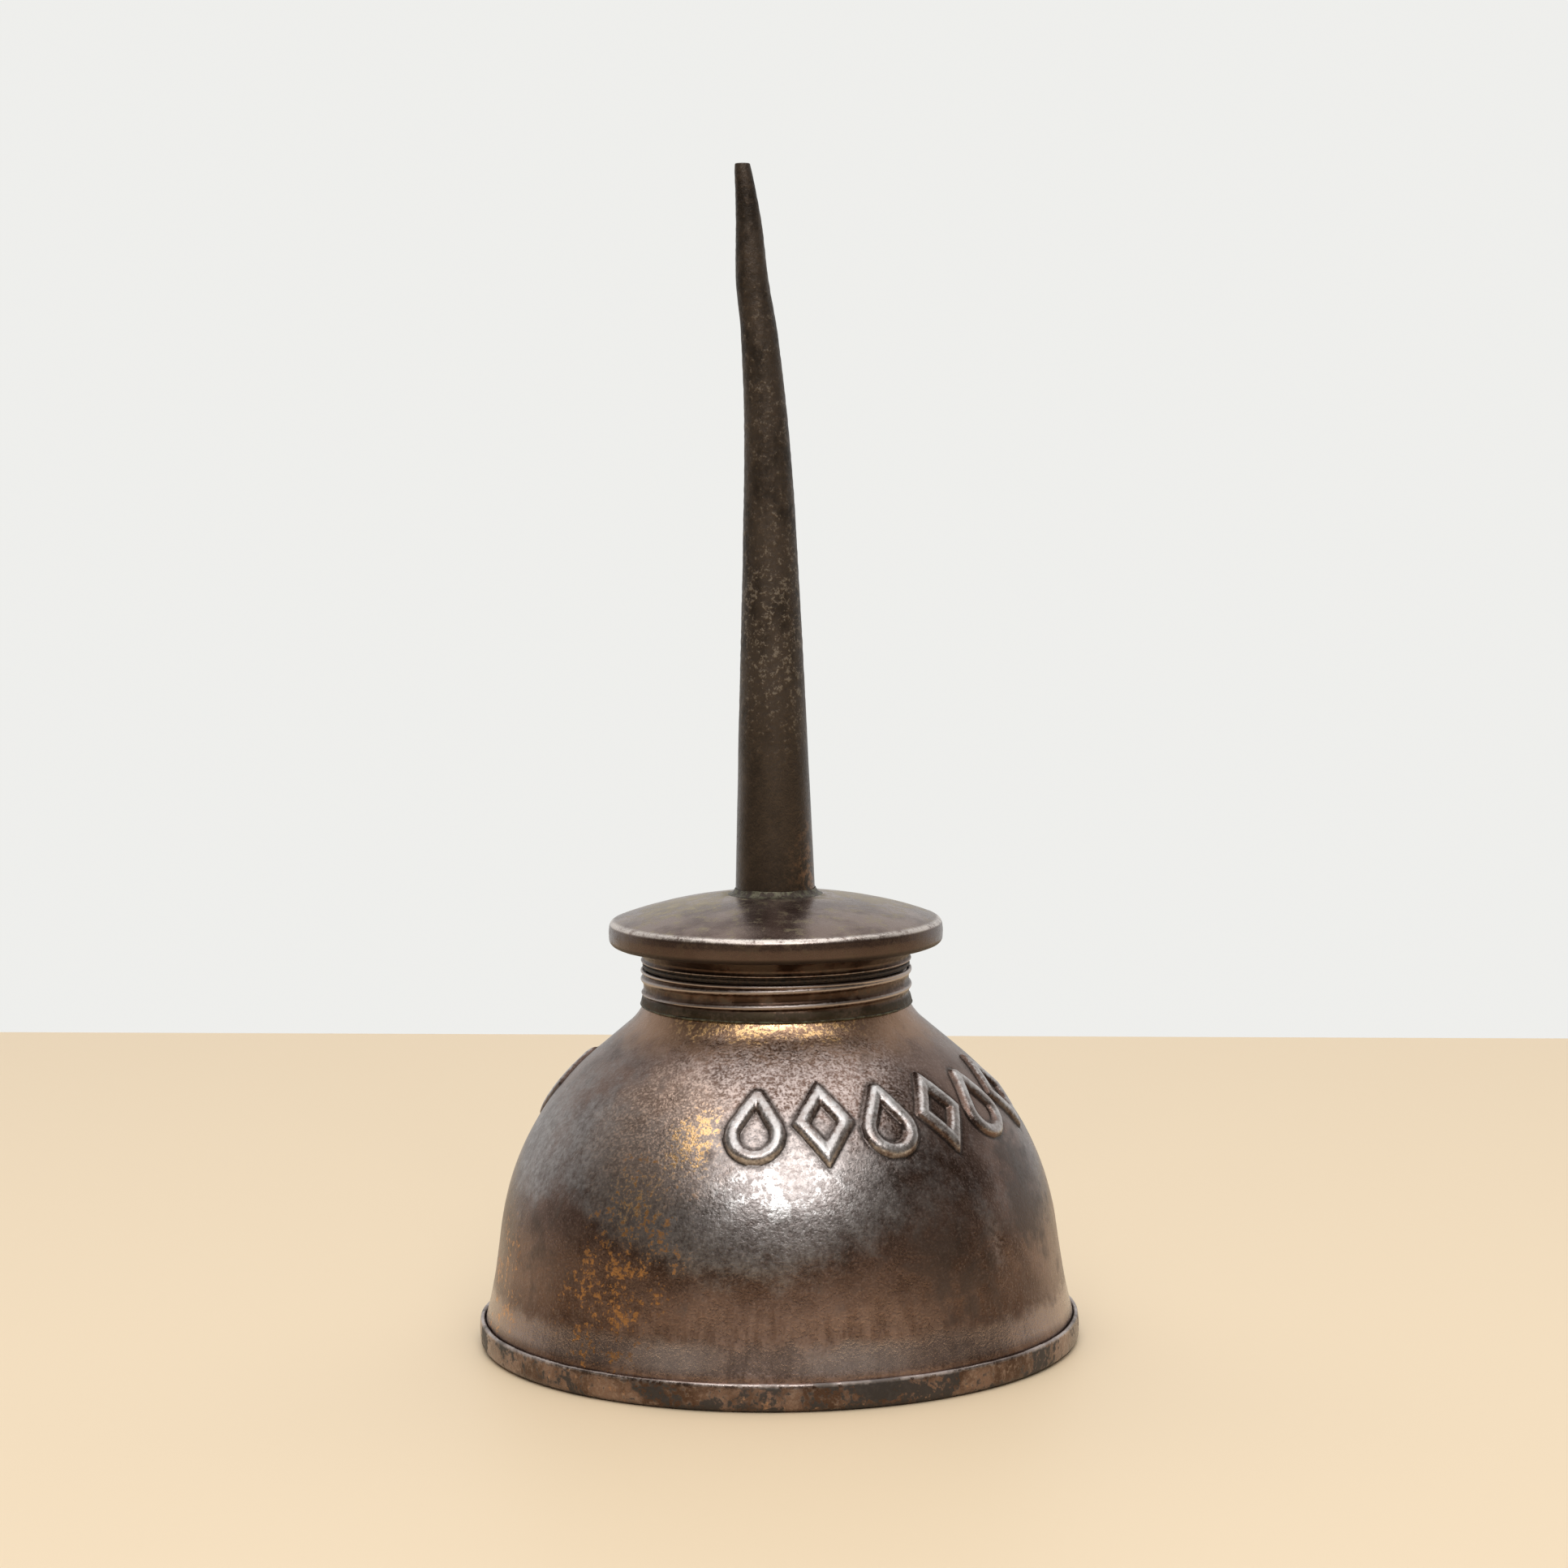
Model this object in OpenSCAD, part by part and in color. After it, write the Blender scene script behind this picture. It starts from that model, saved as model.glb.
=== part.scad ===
// Thumb-press oiler can: a drawn dome on a pressed base pan, a threaded neck,
// and a screw cap that carries a long tapered spout with a bent tip.
// Pressing the sprung bottom with the thumb drives oil out of the spout.
// Millimetres, +Z up. The origin is the middle of the flat ring that the can stands on,
// and the front of the can faces -Y.

/* [Base pan] */
// Outer radius of the pan's upturned wall
pan_r = 31.75; // [31.7:0.05:31.9]
// Height of the pan's wall
pan_h = 2.9; // [2.7:0.1:3.2]
// Thickness of the pan's sheet
pan_sheet = 0.45; // [0.4:0.01:0.48]
// Outer radius of the bend between the pan's wall and its floor
pan_corner = 0.9; // [0.8:0.05:1.0]
// Inner radius of the flat ring that the can stands on
floor_in_r = 26.2; // [26:0.1:27]
// Height of the underside of the ledge that holds the sprung bottom
ledge_z = 1.25; // [1.2:0.05:1.3]

/* [Dome] */
// Outer radius of the dome where it stands in the pan
foot_r = 31.1; // [31:0.05:31.15]
// Thickness of the drawn sheet
shell_sheet = 0.5; // [0.4:0.05:0.55]
// Outer radius at the top of the straight side
shoulder_r = 29.3; // [29.1:0.1:29.5]
// Height of the top of the straight side
shoulder_z = 12.9; // [12.5:0.1:13.2]
// Lean of the straight side from vertical, in degrees
side_lean = 8.3; // [7:0.1:9]
// Radius of the shoulder's round bend
shoulder_bend = 28.5; // [28:0.1:29]
// Angle that the shoulder turns through, in degrees
shoulder_turn = 41.6; // [40:0.1:43]
// Radius of the hollow bend under the neck
throat_bend = 5.7; // [5.4:0.1:6]

/* [Neck and thread] */
// Radius at the bottom of the neck's outer thread groove
neck_r = 14.0; // [13.95:0.01:14.05]
// Depth of the rolled thread
thread_depth = 0.3; // [0.2:0.01:0.3]
// Rise of the thread in one turn: 16 turns to the inch
thread_pitch = 1.5875; // [1.5875:0.0001:1.5876]
// Height of the lowest thread crest at the front
thread_z = 37.38; // [37.3:0.02:37.44]
// Height of the neck's mouth
mouth_z = 39.65; // [39.6:0.01:39.68]
// Thickness of the neck's and the collar's sheet
neck_sheet = 0.35; // [0.33:0.01:0.36]

/* [Cap] */
// Largest radius of the cap's rolled rim
cap_r = 17.6; // [17.5:0.02:17.7]
// Radius of the bend at the top of the rim
rim_bend = 0.8; // [0.75:0.01:0.85]
// Height of the middle of the bend at the top of the rim
rim_z = 44.05; // [44:0.01:44.1]
// Radius of the bend at the foot of the rim
lip_bend = 0.73; // [0.7:0.01:0.75]
// Height of the middle of the bend at the foot of the rim
lip_z = 42.9; // [42.88:0.01:42.95]
// Thickness of the cap's sheet
cap_sheet = 0.45; // [0.43:0.01:0.46]
// Radius of the collar's plain band
band_r = 14.1; // [14.05:0.01:14.15]
// Height of the collar's lower lip
band_z = 40.43; // [40.42:0.01:40.5]
// Radial clearance between the two threads
thread_gap = 0.1; // [0.08:0.01:0.12]

/* [Spout] */
// Thickness of the spout's wall
spout_sheet = 0.45; // [0.35:0.01:0.48]
// Radius of the hole in the tip
tip_bore_r = 0.45; // [0.4:0.01:0.5]

/* [Raised motifs] */
// Number of motifs in each of the two rows
motif_count = 6; // [4:2:6]
// Angle between neighbouring motifs, in degrees
motif_step = 17; // [16.5:0.5:18]
// Angle of the first row's middle, measured from the front towards the right
motif_middle = 37; // [0:1:60]
// Width of a motif
motif_w = 6.1; // [5.6:0.1:6.3]
// Height of a motif, measured up the slope
motif_h = 8.8; // [8:0.1:9.2]
// Width of the raised line that draws a motif
motif_line = 1.5; // [1.3:0.1:1.8]
// Height that a motif stands out of the dome
motif_raise = 0.5; // [0.3:0.05:0.6]

/* [Sprung bottom] */
// Thickness of the sprung bottom's sheet
bottom_sheet = 0.3; // [0.25:0.01:0.3]
// Height of the middle of the sprung bottom
bottom_z = 0.9; // [0.85:0.01:0.95]
// Depth of the pressed rings
ring_depth = 0.14; // [0.1:0.01:0.15]
// Number of pressed rings
ring_count = 4; // [3:1:5]
// Length of the bow spring
bow_length = 44; // [43:0.5:44.5]
// Width of the bow spring
bow_w = 9; // [8:0.5:12]
// Thickness of the bow spring
bow_sheet = 0.5; // [0.4:0.05:0.6]

/* [Hidden] */
$fn = 128;
bend_steps = 14;        // straight steps in one of the dome's bends
arc_steps = 8;          // straight steps in a small bend
thread_sides = 72;      // sides of a threaded ring
thread_row = 0.17;      // height of one row of a thread's faces
spout_sides = 32;
join_gap = 0.05;        // soldered or slipped joint inside one assembly

// ---- paths and sweeps ----

function reversed(list) = [for (i = [len(list) - 1 : -1 : 0]) list[i]];
function smooth(a, b, x) = let (t = max(0, min(1, (x - a) / (b - a)))) t * t * (3 - 2 * t);

// Points of a round bend about a middle, from angle a0 to angle a1
function arc(middle, r, a0, a1) =
    [for (i = [0 : arc_steps]) let (a = a0 + (a1 - a0) * i / arc_steps)
        middle + r * [cos(a), sin(a)]];

// A wall path is a list of [radius, height, lean from vertical]. A bend goes on from its
// last point; its radius is negative where the wall curves outwards.
function bend(from, r, lean) =
    [for (i = [1 : bend_steps]) let (a = from[2] + (lean - from[2]) * i / bend_steps)
        [from[0] + r * (cos(a) - cos(from[2])), from[1] + r * (sin(a) - sin(from[2])), a]];

// The path's points, moved out by a distance along the wall's normal
function offset_path(path, out) =
    [for (p = path) [p[0] + out * cos(p[2]), p[1] + out * sin(p[2])]];

// A closed ring of sheet or wire. sections holds one outline of [radius, height] for each
// angle, going up on the outside, and lean moves each height sideways along X.
module swept_ring(sections, lean = function (z) 0) {
    sides = len(sections);
    count = len(sections[0]);
    points = [for (j = [0 : sides - 1]) for (p = sections[j]) let (a = 360 * j / sides)
        [p[0] * cos(a) + lean(p[1]), p[0] * sin(a), p[1]]];
    faces = [for (j = [0 : sides - 1]) for (i = [0 : count - 1])
        let (j2 = (j + 1) % sides, i2 = (i + 1) % count, a = j * count + i,
             b = j * count + i2, c = j2 * count + i2, d = j2 * count + i)
        each [[a, b, c], [a, c, d]]];
    polyhedron(points, faces);
}

// ---- dome ----

foot_z = 0.6;           // the dome's foot stands on solder just above the pan's floor
flare_top_z = 8.2;
stub_r = 13.55;         // outer radius that the throat's bend is drawn towards
stub_top_z = 36.7;

side_r = shoulder_r + (shoulder_z - flare_top_z) * tan(side_lean);
flare_chord = atan((foot_r - side_r) / (flare_top_z - pan_h));
flare_lean = 2 * flare_chord - side_lean;
flare_bend = (flare_top_z - pan_h) / (sin(flare_lean) - sin(side_lean));
throat_lean = side_lean + shoulder_turn;

foot_path = [[foot_r, foot_z, 0], [foot_r, pan_h, flare_lean / 2]];
flare_path = bend([foot_r, pan_h, flare_lean], -flare_bend, side_lean);
shoulder_path = bend([shoulder_r, shoulder_z, side_lean], shoulder_bend, throat_lean);
shoulder_end = shoulder_path[bend_steps - 1];
throat_r = stub_r + throat_bend * (1 - cos(throat_lean));
throat_z = shoulder_end[1] + (shoulder_end[0] - throat_r) / tan(throat_lean);
stub_lean = asin(sin(throat_lean) - (stub_top_z - throat_z) / throat_bend);
throat_start = [throat_r, throat_z, throat_lean];
shell_path = concat(foot_path, flare_path, [[shoulder_r, shoulder_z, side_lean]],
                    shoulder_path, [throat_start],
                    bend(throat_start, -throat_bend, stub_lean));

// Lean of the shoulder at the height of the motifs' middle, and the radius there
motif_z = 27.1;
motif_lean = asin(sin(side_lean) + (motif_z - shoulder_z) / shoulder_bend);
motif_r = shoulder_r + shoulder_bend * (cos(motif_lean) - cos(side_lean));
motif_root = 0.25;      // how deep a motif is rooted in the sheet
motif_reach = 2;        // how far a motif's prism reaches to both sides of the surface

module drop(r, height) {
    tip = height - r;
    turn = acos(r / tip);
    circle(r);
    polygon([[0, tip], [-r * sin(turn), r * cos(turn)], [0, 0], [r * sin(turn), r * cos(turn)]]);
}

module drop_outline() {
    r = motif_w / 2;
    inner = r - motif_line;
    translate([0, r - motif_h / 2]) difference() {
        drop(r, motif_h);
        drop(inner, inner + (motif_h - r) * inner / r);
    }
}

module diamond(w, h) polygon([[w / 2, 0], [0, h / 2], [-w / 2, 0], [0, -h / 2]]);

module diamond_outline() {
    to_side = motif_w * motif_h / 2 / norm([motif_w, motif_h]);
    inner = 1 - 0.8 * motif_line / to_side;
    difference() {
        diamond(motif_w, motif_h);
        diamond(motif_w * inner, motif_h * inner);
    }
}

module motif_prism(i) {
    angle = motif_middle - 90 + (i - (motif_count - 1) / 2) * motif_step;
    rotate([0, 0, angle])
        translate([motif_r, 0, motif_z])
        rotate([0, 90 - motif_lean, 0])
        rotate([0, 0, 90])
        linear_extrude(2 * motif_reach, center = true)
        if (i % 2 == 0) drop_outline(); else diamond_outline();
}

module motif_rows() {
    band = [for (p = shell_path) if (p[1] > shoulder_z && p[1] < throat_z) p];
    intersection() {
        rotate_extrude() polygon(concat(offset_path(band, motif_raise),
                                        reversed(offset_path(band, -motif_root))));
        for (half = [0, 180]) rotate([0, 0, half])
            for (i = [0 : motif_count - 1]) motif_prism(i);
    }
}

module body_shell() {
    color("#6b4a35") union() {
        rotate_extrude() polygon(concat(offset_path(shell_path, 0),
                                        reversed(offset_path(shell_path, -shell_sheet))));
        motif_rows();
    }
}

// ---- base pan ----

ledge_in_r = 23;        // inner edge of the ledge
ledge_out_r = 25.4;     // where the ledge turns down to the floor
crimp = 0.12;           // how far the wall's top edge is pressed in

function corner_path(r, a0, a1) = arc([pan_r - pan_corner, pan_corner], r, a0, a1);
pan_inner_corner = corner_path(pan_corner - pan_sheet, 0, -90);

module base_pan() {
    color("#8a5a48") rotate_extrude() polygon(concat(
        [[ledge_in_r, ledge_z], [ledge_out_r, ledge_z], [floor_in_r, 0]],
        corner_path(pan_corner, -90, 0),
        [[pan_r, pan_h - 2 * crimp], [pan_r - crimp, pan_h],
         [pan_r - pan_sheet + crimp / 2, pan_h], [pan_r - pan_sheet, pan_h - 2 * crimp]],
        pan_inner_corner,
        [[floor_in_r + pan_sheet / 2, pan_sheet], [ledge_out_r + pan_sheet / 2, ledge_z + pan_sheet],
         [ledge_in_r, ledge_z + pan_sheet]]));
}

// Solder runs round the dome's foot, up the gap beside it and in a fillet inside it
module base_solder() {
    gap_r = pan_r - pan_sheet;
    fillet = 0.7;
    color("#4b4642") rotate_extrude() polygon(concat(
        [[foot_r, foot_z], [foot_r, pan_h - 0.5], [gap_r, pan_h - 0.7]],
        pan_inner_corner,
        [[foot_r - shell_sheet - fillet, pan_sheet],
         [foot_r - shell_sheet, pan_sheet + fillet], [foot_r - shell_sheet, foot_z]]));
}

// ---- neck ----

neck_foot_z = 36;       // lower edge of the neck ring, lapped over the dome
neck_foot_r = 14.3;
neck_lap_z = 36.7;
neck_lap_r = 14.14;
thread_low_z = 36.95;   // where the thread starts to rise out of the ring
thread_full_z = 37.15;
lip_low_z = 39.1;       // where the ring widens into its plain lip
lip_full_z = 39.45;

// Right-hand thread: 1 on a crest, 0 in a groove
function crest(angle, z) =
    let (turns = (z - thread_z) / thread_pitch - (angle + 90) / 360)
    pow((1 + cos(360 * turns)) / 2, 2);
function neck_out(angle, z) =
    let (risen = smooth(thread_low_z, thread_full_z, z) * crest(angle, z))
    neck_r + thread_depth * max(risen, smooth(lip_low_z, lip_full_z, z));

thread_rows = [for (z = [thread_low_z : thread_row : mouth_z - 0.1]) z];

function neck_section(angle) = concat(
    [[neck_foot_r, neck_foot_z], [neck_lap_r, neck_lap_z]],
    [for (z = thread_rows) [neck_out(angle, z), z]],
    [[neck_r + thread_depth - 0.05, mouth_z], [neck_r + thread_depth - neck_sheet + 0.05, mouth_z]],
    [for (z = reversed(thread_rows)) [neck_out(angle, z) - neck_sheet, z]],
    [[neck_lap_r - neck_sheet + 0.03, neck_lap_z], [neck_foot_r - 0.25, neck_foot_z]]);

module neck_ring() {
    color("#5a4436") swept_ring([for (j = [0 : thread_sides - 1]) neck_section(360 * j / thread_sides)]);
}

// A fine seam of solder closes the lap between the neck ring and the dome
module neck_solder() {
    seam_low_z = 35.7;
    function shell_r(z) =
        let (a = asin(sin(throat_lean) - (z - throat_z) / throat_bend))
        throat_r - throat_bend * (cos(a) - cos(throat_lean));
    color("#7d8a72") rotate_extrude() polygon([
        [shell_r(seam_low_z) + 0.02, seam_low_z], [neck_foot_r + 0.08, neck_foot_z - 0.12],
        [neck_foot_r, neck_foot_z], [shell_r(neck_foot_z) + 0.02, neck_foot_z]]);
}

// ---- cap ----

male_r = neck_r - neck_sheet - thread_gap;
skirt_low_z = 37.2;
skirt_full_z = 37.5;
thread_end_z = 39.7;    // the collar's thread fades out here, below the gasket
thread_last_z = 39.45;
shoulder_low_z = band_z - 0.03;
shoulder_out = 0.15;    // how far the collar's shoulder stands out of the band
cone_low_z = 41.2;      // where the band spreads out into a cone
cone_out_r = 15.7;      // where the cone meets the flat flange
flange_out_r = 17;      // edge of the flange, inside the cap's rim
flange_under_z = 42.57;

function male_out(angle, z) =
    let (fade = smooth(skirt_low_z, skirt_full_z, z) * (1 - smooth(thread_last_z, thread_end_z, z)))
    male_r + thread_depth * fade * crest(angle, z);

skirt_rows = concat([for (z = [skirt_low_z : thread_row : thread_last_z]) z], [thread_end_z]);

function collar_section(angle) = concat(
    [for (z = skirt_rows) [male_out(angle, z), z]],
    [[male_r, shoulder_low_z], [band_r - 0.05, shoulder_low_z], [band_r + shoulder_out, band_z + 0.17],
     [band_r, band_z + 0.4], [band_r, cone_low_z - 0.2], [band_r + 0.15, cone_low_z],
     [cone_out_r, flange_under_z - 0.07], [flange_out_r, flange_under_z],
     [flange_out_r, flange_under_z + neck_sheet], [cone_out_r - 0.2, flange_under_z + neck_sheet],
     [band_r - 0.1, cone_low_z + 0.3], [band_r - neck_sheet, cone_low_z],
     [band_r - neck_sheet, band_z + 0.4], [male_r - neck_sheet, band_z + 0.27]],
    [for (z = reversed(skirt_rows)) [male_out(angle, z) - neck_sheet, z]]);

module cap_collar() {
    color("#6e5a48") swept_ring([for (j = [0 : thread_sides - 1]) collar_section(360 * j / thread_sides)]);
}

// Leather washer that the collar's shoulder presses on the mouth
module cap_gasket() {
    gasket_low_z = mouth_z + 0.12;
    gasket_top_z = shoulder_low_z - 0.07;
    color("#4a3020") translate([0, 0, gasket_low_z]) difference() {
        cylinder(h = gasket_top_z - gasket_low_z, r = band_r);
        translate([0, 0, -1]) cylinder(h = gasket_top_z - gasket_low_z + 2, r = male_r + 0.08);
    }
}

// The cap's top is crowned, and falls a little more steeply near its rim
crown_z = 47.6;
crown_round = 0.0086;
hole_r = 4.3;
function crown(r) = crown_z - crown_round * r * r;

rim_middle = [cap_r - 0.05 - rim_bend, rim_z];
rim_start = 66;         // angle on the rim's upper bend where the top runs into it
edge_r = rim_middle[0] + rim_bend * cos(rim_start);
edge_drop = crown(edge_r) - (rim_z + rim_bend * sin(rim_start));
top_steps = 12;
lip_middle = [cap_r - 0.02 - lip_bend, lip_z];
lip_end_r = 16;         // the sheet ends here, turned under the collar's flange
lip_sheet = 0.35;       // the turned-under sheet is pressed thinner

module cap_disc() {
    top = [for (i = [0 : top_steps - 1]) let (r = hole_r + (edge_r - hole_r) * i / top_steps)
        [r, crown(r) - edge_drop * pow(i / top_steps, 4)]];
    under = [for (p = top) [p[0], p[1] - cap_sheet]];
    color("#7a6a4e") rotate_extrude() polygon(concat(
        reversed(top), under,
        arc(rim_middle, rim_bend - cap_sheet, rim_start, 0),
        arc(lip_middle - [0.1, 0], lip_bend - lip_sheet, 0, -90),
        [[lip_end_r, lip_z - lip_bend + lip_sheet - 0.05], [lip_end_r, lip_z - lip_bend - 0.05]],
        reversed(arc(lip_middle, lip_bend, 0, -90)),
        [[cap_r, (rim_z + lip_z) / 2]],
        reversed(arc(rim_middle, rim_bend, rim_start, 0))));
}

// ---- spout ----

// Stations up the spout: height, sideways lean of the middle, outer radius
spout_stations = [
    [47.3, 0, 4.2], [66, -0.1, 3.54], [84, -0.2, 2.82], [97, -0.5, 2.28], [106, -1.1, 1.92],
    [111.5, -1.78, 1.68], [117.5, -2.08, 1.34], [122, -2.5, 0.93], [123.3, -2.66, 0.78]];
tip_z = 123.6;
tip_r = 0.6;
flange_r = 5.6;
flange_top_z = crown(flange_r) - cap_sheet - join_gap;
flange_low_z = flange_top_z - 0.4;
station_steps = 3;      // rings between two stations

// Slope of a column at station i, and the smooth curve through the stations
function slope(i, column) =
    let (low = spout_stations[max(i - 1, 0)],
         high = spout_stations[min(i + 1, len(spout_stations) - 1)])
    (high[column] - low[column]) / (high[0] - low[0]);
function between(i, t, column) =
    let (low = spout_stations[i], high = spout_stations[i + 1], rise = high[0] - low[0])
    (2 * t * t * t - 3 * t * t + 1) * low[column]
    + (t * t * t - 2 * t * t + t) * rise * slope(i, column)
    + (3 * t * t - 2 * t * t * t) * high[column]
    + (t * t * t - t * t) * rise * slope(i + 1, column);
function spout_at(z, column) =
    let (last = len(spout_stations) - 2,
         below = [for (i = [0 : last]) if (spout_stations[i][0] <= z) i],
         i = len(below) == 0 ? 0 : below[len(below) - 1],
         t = (z - spout_stations[i][0]) / (spout_stations[i + 1][0] - spout_stations[i][0]))
    z <= spout_stations[0][0] ? spout_stations[0][column] : between(i, min(t, 1), column);
function spout_lean(z) = spout_at(z, 1);
function bore_at(z) = max(tip_bore_r, spout_at(z, 2) - spout_sheet);

spout_heights = [for (i = [0 : len(spout_stations) - 2]) for (k = [0 : station_steps - 1])
    spout_stations[i][0] + (spout_stations[i + 1][0] - spout_stations[i][0]) * k / station_steps];
spout_top_z = spout_stations[len(spout_stations) - 1][0];

spout_section = concat(
    [[flange_r, flange_low_z], [flange_r, flange_top_z], [spout_stations[0][2], flange_top_z]],
    [for (z = spout_heights) [spout_at(z, 2), z]],
    [[spout_at(spout_top_z, 2), spout_top_z], [tip_r, tip_z], [tip_bore_r, tip_z]],
    [for (z = reversed(spout_heights)) [bore_at(z), z]],
    [[bore_at(flange_low_z), flange_low_z]]);

module spout_tube() {
    color("#4a4038") swept_ring([for (j = [1 : spout_sides]) spout_section], function (z) spout_lean(z));
}

// Solder fillet round the spout where it leaves the cap
module spout_solder() {
    inner = spout_stations[0][2] + join_gap;
    low = function (r) crown(r) + 0.01;
    color("#5f6b5a") rotate_extrude() polygon([
        [inner, low(inner)], [inner + 0.75, low(inner + 0.75)], [inner + 0.3, low(inner) + 0.22],
        [inner, low(inner) + 0.6]]);
}

// ---- sprung bottom ----

rivet_r = 1.2;
rivet_hole_r = rivet_r + join_gap;
pad_r = 5;              // flat middle of the sprung bottom
step_in_r = 20.8;       // the step up to the flange
step_out_r = 21.8;
bottom_r = 25.1;
bottom_sag = 0.42;      // how much lower the middle is than the outer rings
washer_sheet = 0.4;
washer_r = 4;
ring_samples = 8;       // points drawn on each pressed ring
flange_z = ledge_z + pan_sheet;

function bottom_under(r) =
    let (t = (r - pad_r) / (step_in_r - pad_r))
    bottom_z + bottom_sag * pow(t, 1.5) + ring_depth * (1 - cos(360 * ring_count * t)) / 2;

// Thin corrugated disc; its flange is laid on the pan's ledge
module bottom_diaphragm() {
    rings = [for (i = [0 : ring_count * ring_samples])
        let (r = pad_r + (step_in_r - pad_r) * i / (ring_count * ring_samples))
        [r, bottom_under(r)]];
    under = concat([[rivet_hole_r, bottom_z]], rings, [[step_out_r, flange_z], [bottom_r, flange_z]]);
    color("#8a6a52") rotate_extrude() polygon(concat(
        under, reversed([for (p = under) [p[0], p[1] + bottom_sheet]])));
}

// Flat steel spring across the inside, riveted to the disc's middle; its ends lie over the flange
bow_z = bottom_z + bottom_sheet + washer_sheet;
bow_steps = 16;
module bow_spring() {
    end_x = bow_length / 2;
    end_rise = flange_z + bottom_sheet + join_gap - bow_z;
    under = [for (i = [-bow_steps : bow_steps]) let (t = i / bow_steps)
        [t * end_x, bow_z + end_rise * t * t]];
    color("#6d7278") difference() {
        rotate([90, 0, 0]) linear_extrude(bow_w, center = true)
            polygon(concat(under, reversed([for (p = under) [p[0], p[1] + bow_sheet]])));
        cylinder(h = 10, r = rivet_hole_r);
    }
}

module rivet_washer() {
    color("#8c8f94") translate([0, 0, bottom_z + bottom_sheet]) difference() {
        cylinder(h = washer_sheet, r = washer_r);
        translate([0, 0, -1]) cylinder(h = washer_sheet + 2, r = rivet_hole_r);
    }
}

// Round-headed rivet, its upper end spread over the bow spring
module centre_rivet() {
    head_r = 2.6;
    head_h = 0.6;
    spread_r = 2.1;
    spread_h = 0.55;
    top_z = bow_z + bow_sheet + 0.02;
    function cap_arc(r, h, side) = [for (i = [0 : arc_steps]) let (a = 90 * i / arc_steps)
        [r * cos(a), side * h * sin(a)]];
    color("#9a8f80") rotate_extrude() polygon(concat(
        reversed([for (p = cap_arc(head_r, head_h, -1)) [p[0], bottom_z + p[1]]]),
        [[rivet_r, bottom_z], [rivet_r, top_z]],
        [for (p = cap_arc(spread_r, spread_h, 1)) [p[0], top_z + p[1]]]));
}

body_shell();
base_pan();
base_solder();
neck_ring();
neck_solder();
bottom_diaphragm();
bow_spring();
rivet_washer();
centre_rivet();
cap_gasket();
cap_collar();
cap_disc();
spout_tube();
spout_solder();
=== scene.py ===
import math

import bpy
import numpy as np
from mathutils import Matrix, Vector, noise


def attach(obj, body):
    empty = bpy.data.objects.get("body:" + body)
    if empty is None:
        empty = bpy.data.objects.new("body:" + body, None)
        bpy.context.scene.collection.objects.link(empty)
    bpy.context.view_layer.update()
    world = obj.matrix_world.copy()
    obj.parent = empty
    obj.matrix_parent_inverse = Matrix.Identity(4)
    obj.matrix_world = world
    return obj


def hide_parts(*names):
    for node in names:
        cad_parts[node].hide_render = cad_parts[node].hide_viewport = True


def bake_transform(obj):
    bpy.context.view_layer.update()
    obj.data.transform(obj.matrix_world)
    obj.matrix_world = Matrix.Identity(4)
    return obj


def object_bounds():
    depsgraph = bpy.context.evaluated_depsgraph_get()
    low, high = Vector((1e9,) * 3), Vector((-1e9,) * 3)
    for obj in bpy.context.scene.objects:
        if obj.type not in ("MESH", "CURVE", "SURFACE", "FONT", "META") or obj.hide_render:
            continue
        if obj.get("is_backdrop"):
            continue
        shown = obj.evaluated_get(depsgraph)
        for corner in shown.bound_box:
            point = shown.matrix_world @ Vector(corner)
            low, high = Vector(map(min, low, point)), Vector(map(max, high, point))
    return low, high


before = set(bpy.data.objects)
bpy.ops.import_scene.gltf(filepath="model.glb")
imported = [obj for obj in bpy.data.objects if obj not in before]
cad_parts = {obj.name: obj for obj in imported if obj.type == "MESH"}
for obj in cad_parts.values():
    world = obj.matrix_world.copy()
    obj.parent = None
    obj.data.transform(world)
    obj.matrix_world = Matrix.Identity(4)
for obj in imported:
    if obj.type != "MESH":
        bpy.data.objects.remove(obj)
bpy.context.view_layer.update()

# ---- Camera ----
# A hand-held camera a little above the can's cap, looking slightly down on the front.
# The can leans a trace to the left in its view.

mm = 0.001
camera_back = 376.4 * mm
camera_up = 93.6 * mm
camera_side = 0.3 * mm
camera_down = math.radians(5.26)
camera_turn = math.radians(-0.11)
camera_roll = math.radians(-0.56)

bpy.ops.object.camera_add()
camera = bpy.context.object
camera.name = "camera"
camera.data.lens = 82.6
camera.data.sensor_width = 36
camera.data.clip_start = 0.01
camera.matrix_world = (
    Matrix.Translation((camera_side, -camera_back, camera_up))
    @ Matrix.Rotation(camera_turn, 4, "Z")
    @ Matrix.Rotation(math.pi / 2 - camera_down, 4, "X")
    @ Matrix.Rotation(camera_roll, 4, "Z")
)
bpy.context.scene.camera = camera


# ---- Base pan ----
# A shallow pan pressed from copper-plated sheet steel. Its wall turns up round the dome's foot,
# its floor is the ring that the can stands on, and its inner ledge holds the sprung bottom.

pan_r = 31.75
pan_h = 2.9
pan_sheet = 0.45
pan_corner = 0.9
floor_in_r = 26.2
ledge_in_r = 23.0
ledge_out_r = 25.4
ledge_z = 1.25
FRONT = -90              # the front of the can faces -Y


def arc(middle, radius, start, end, steps=6):
    """Points of a round bend about a middle, in degrees; the last point is included."""
    angles = [math.radians(start + (end - start) * i / steps) for i in range(steps + 1)]
    return [(middle[0] + radius * math.cos(a), middle[1] + radius * math.sin(a)) for a in angles]


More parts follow.
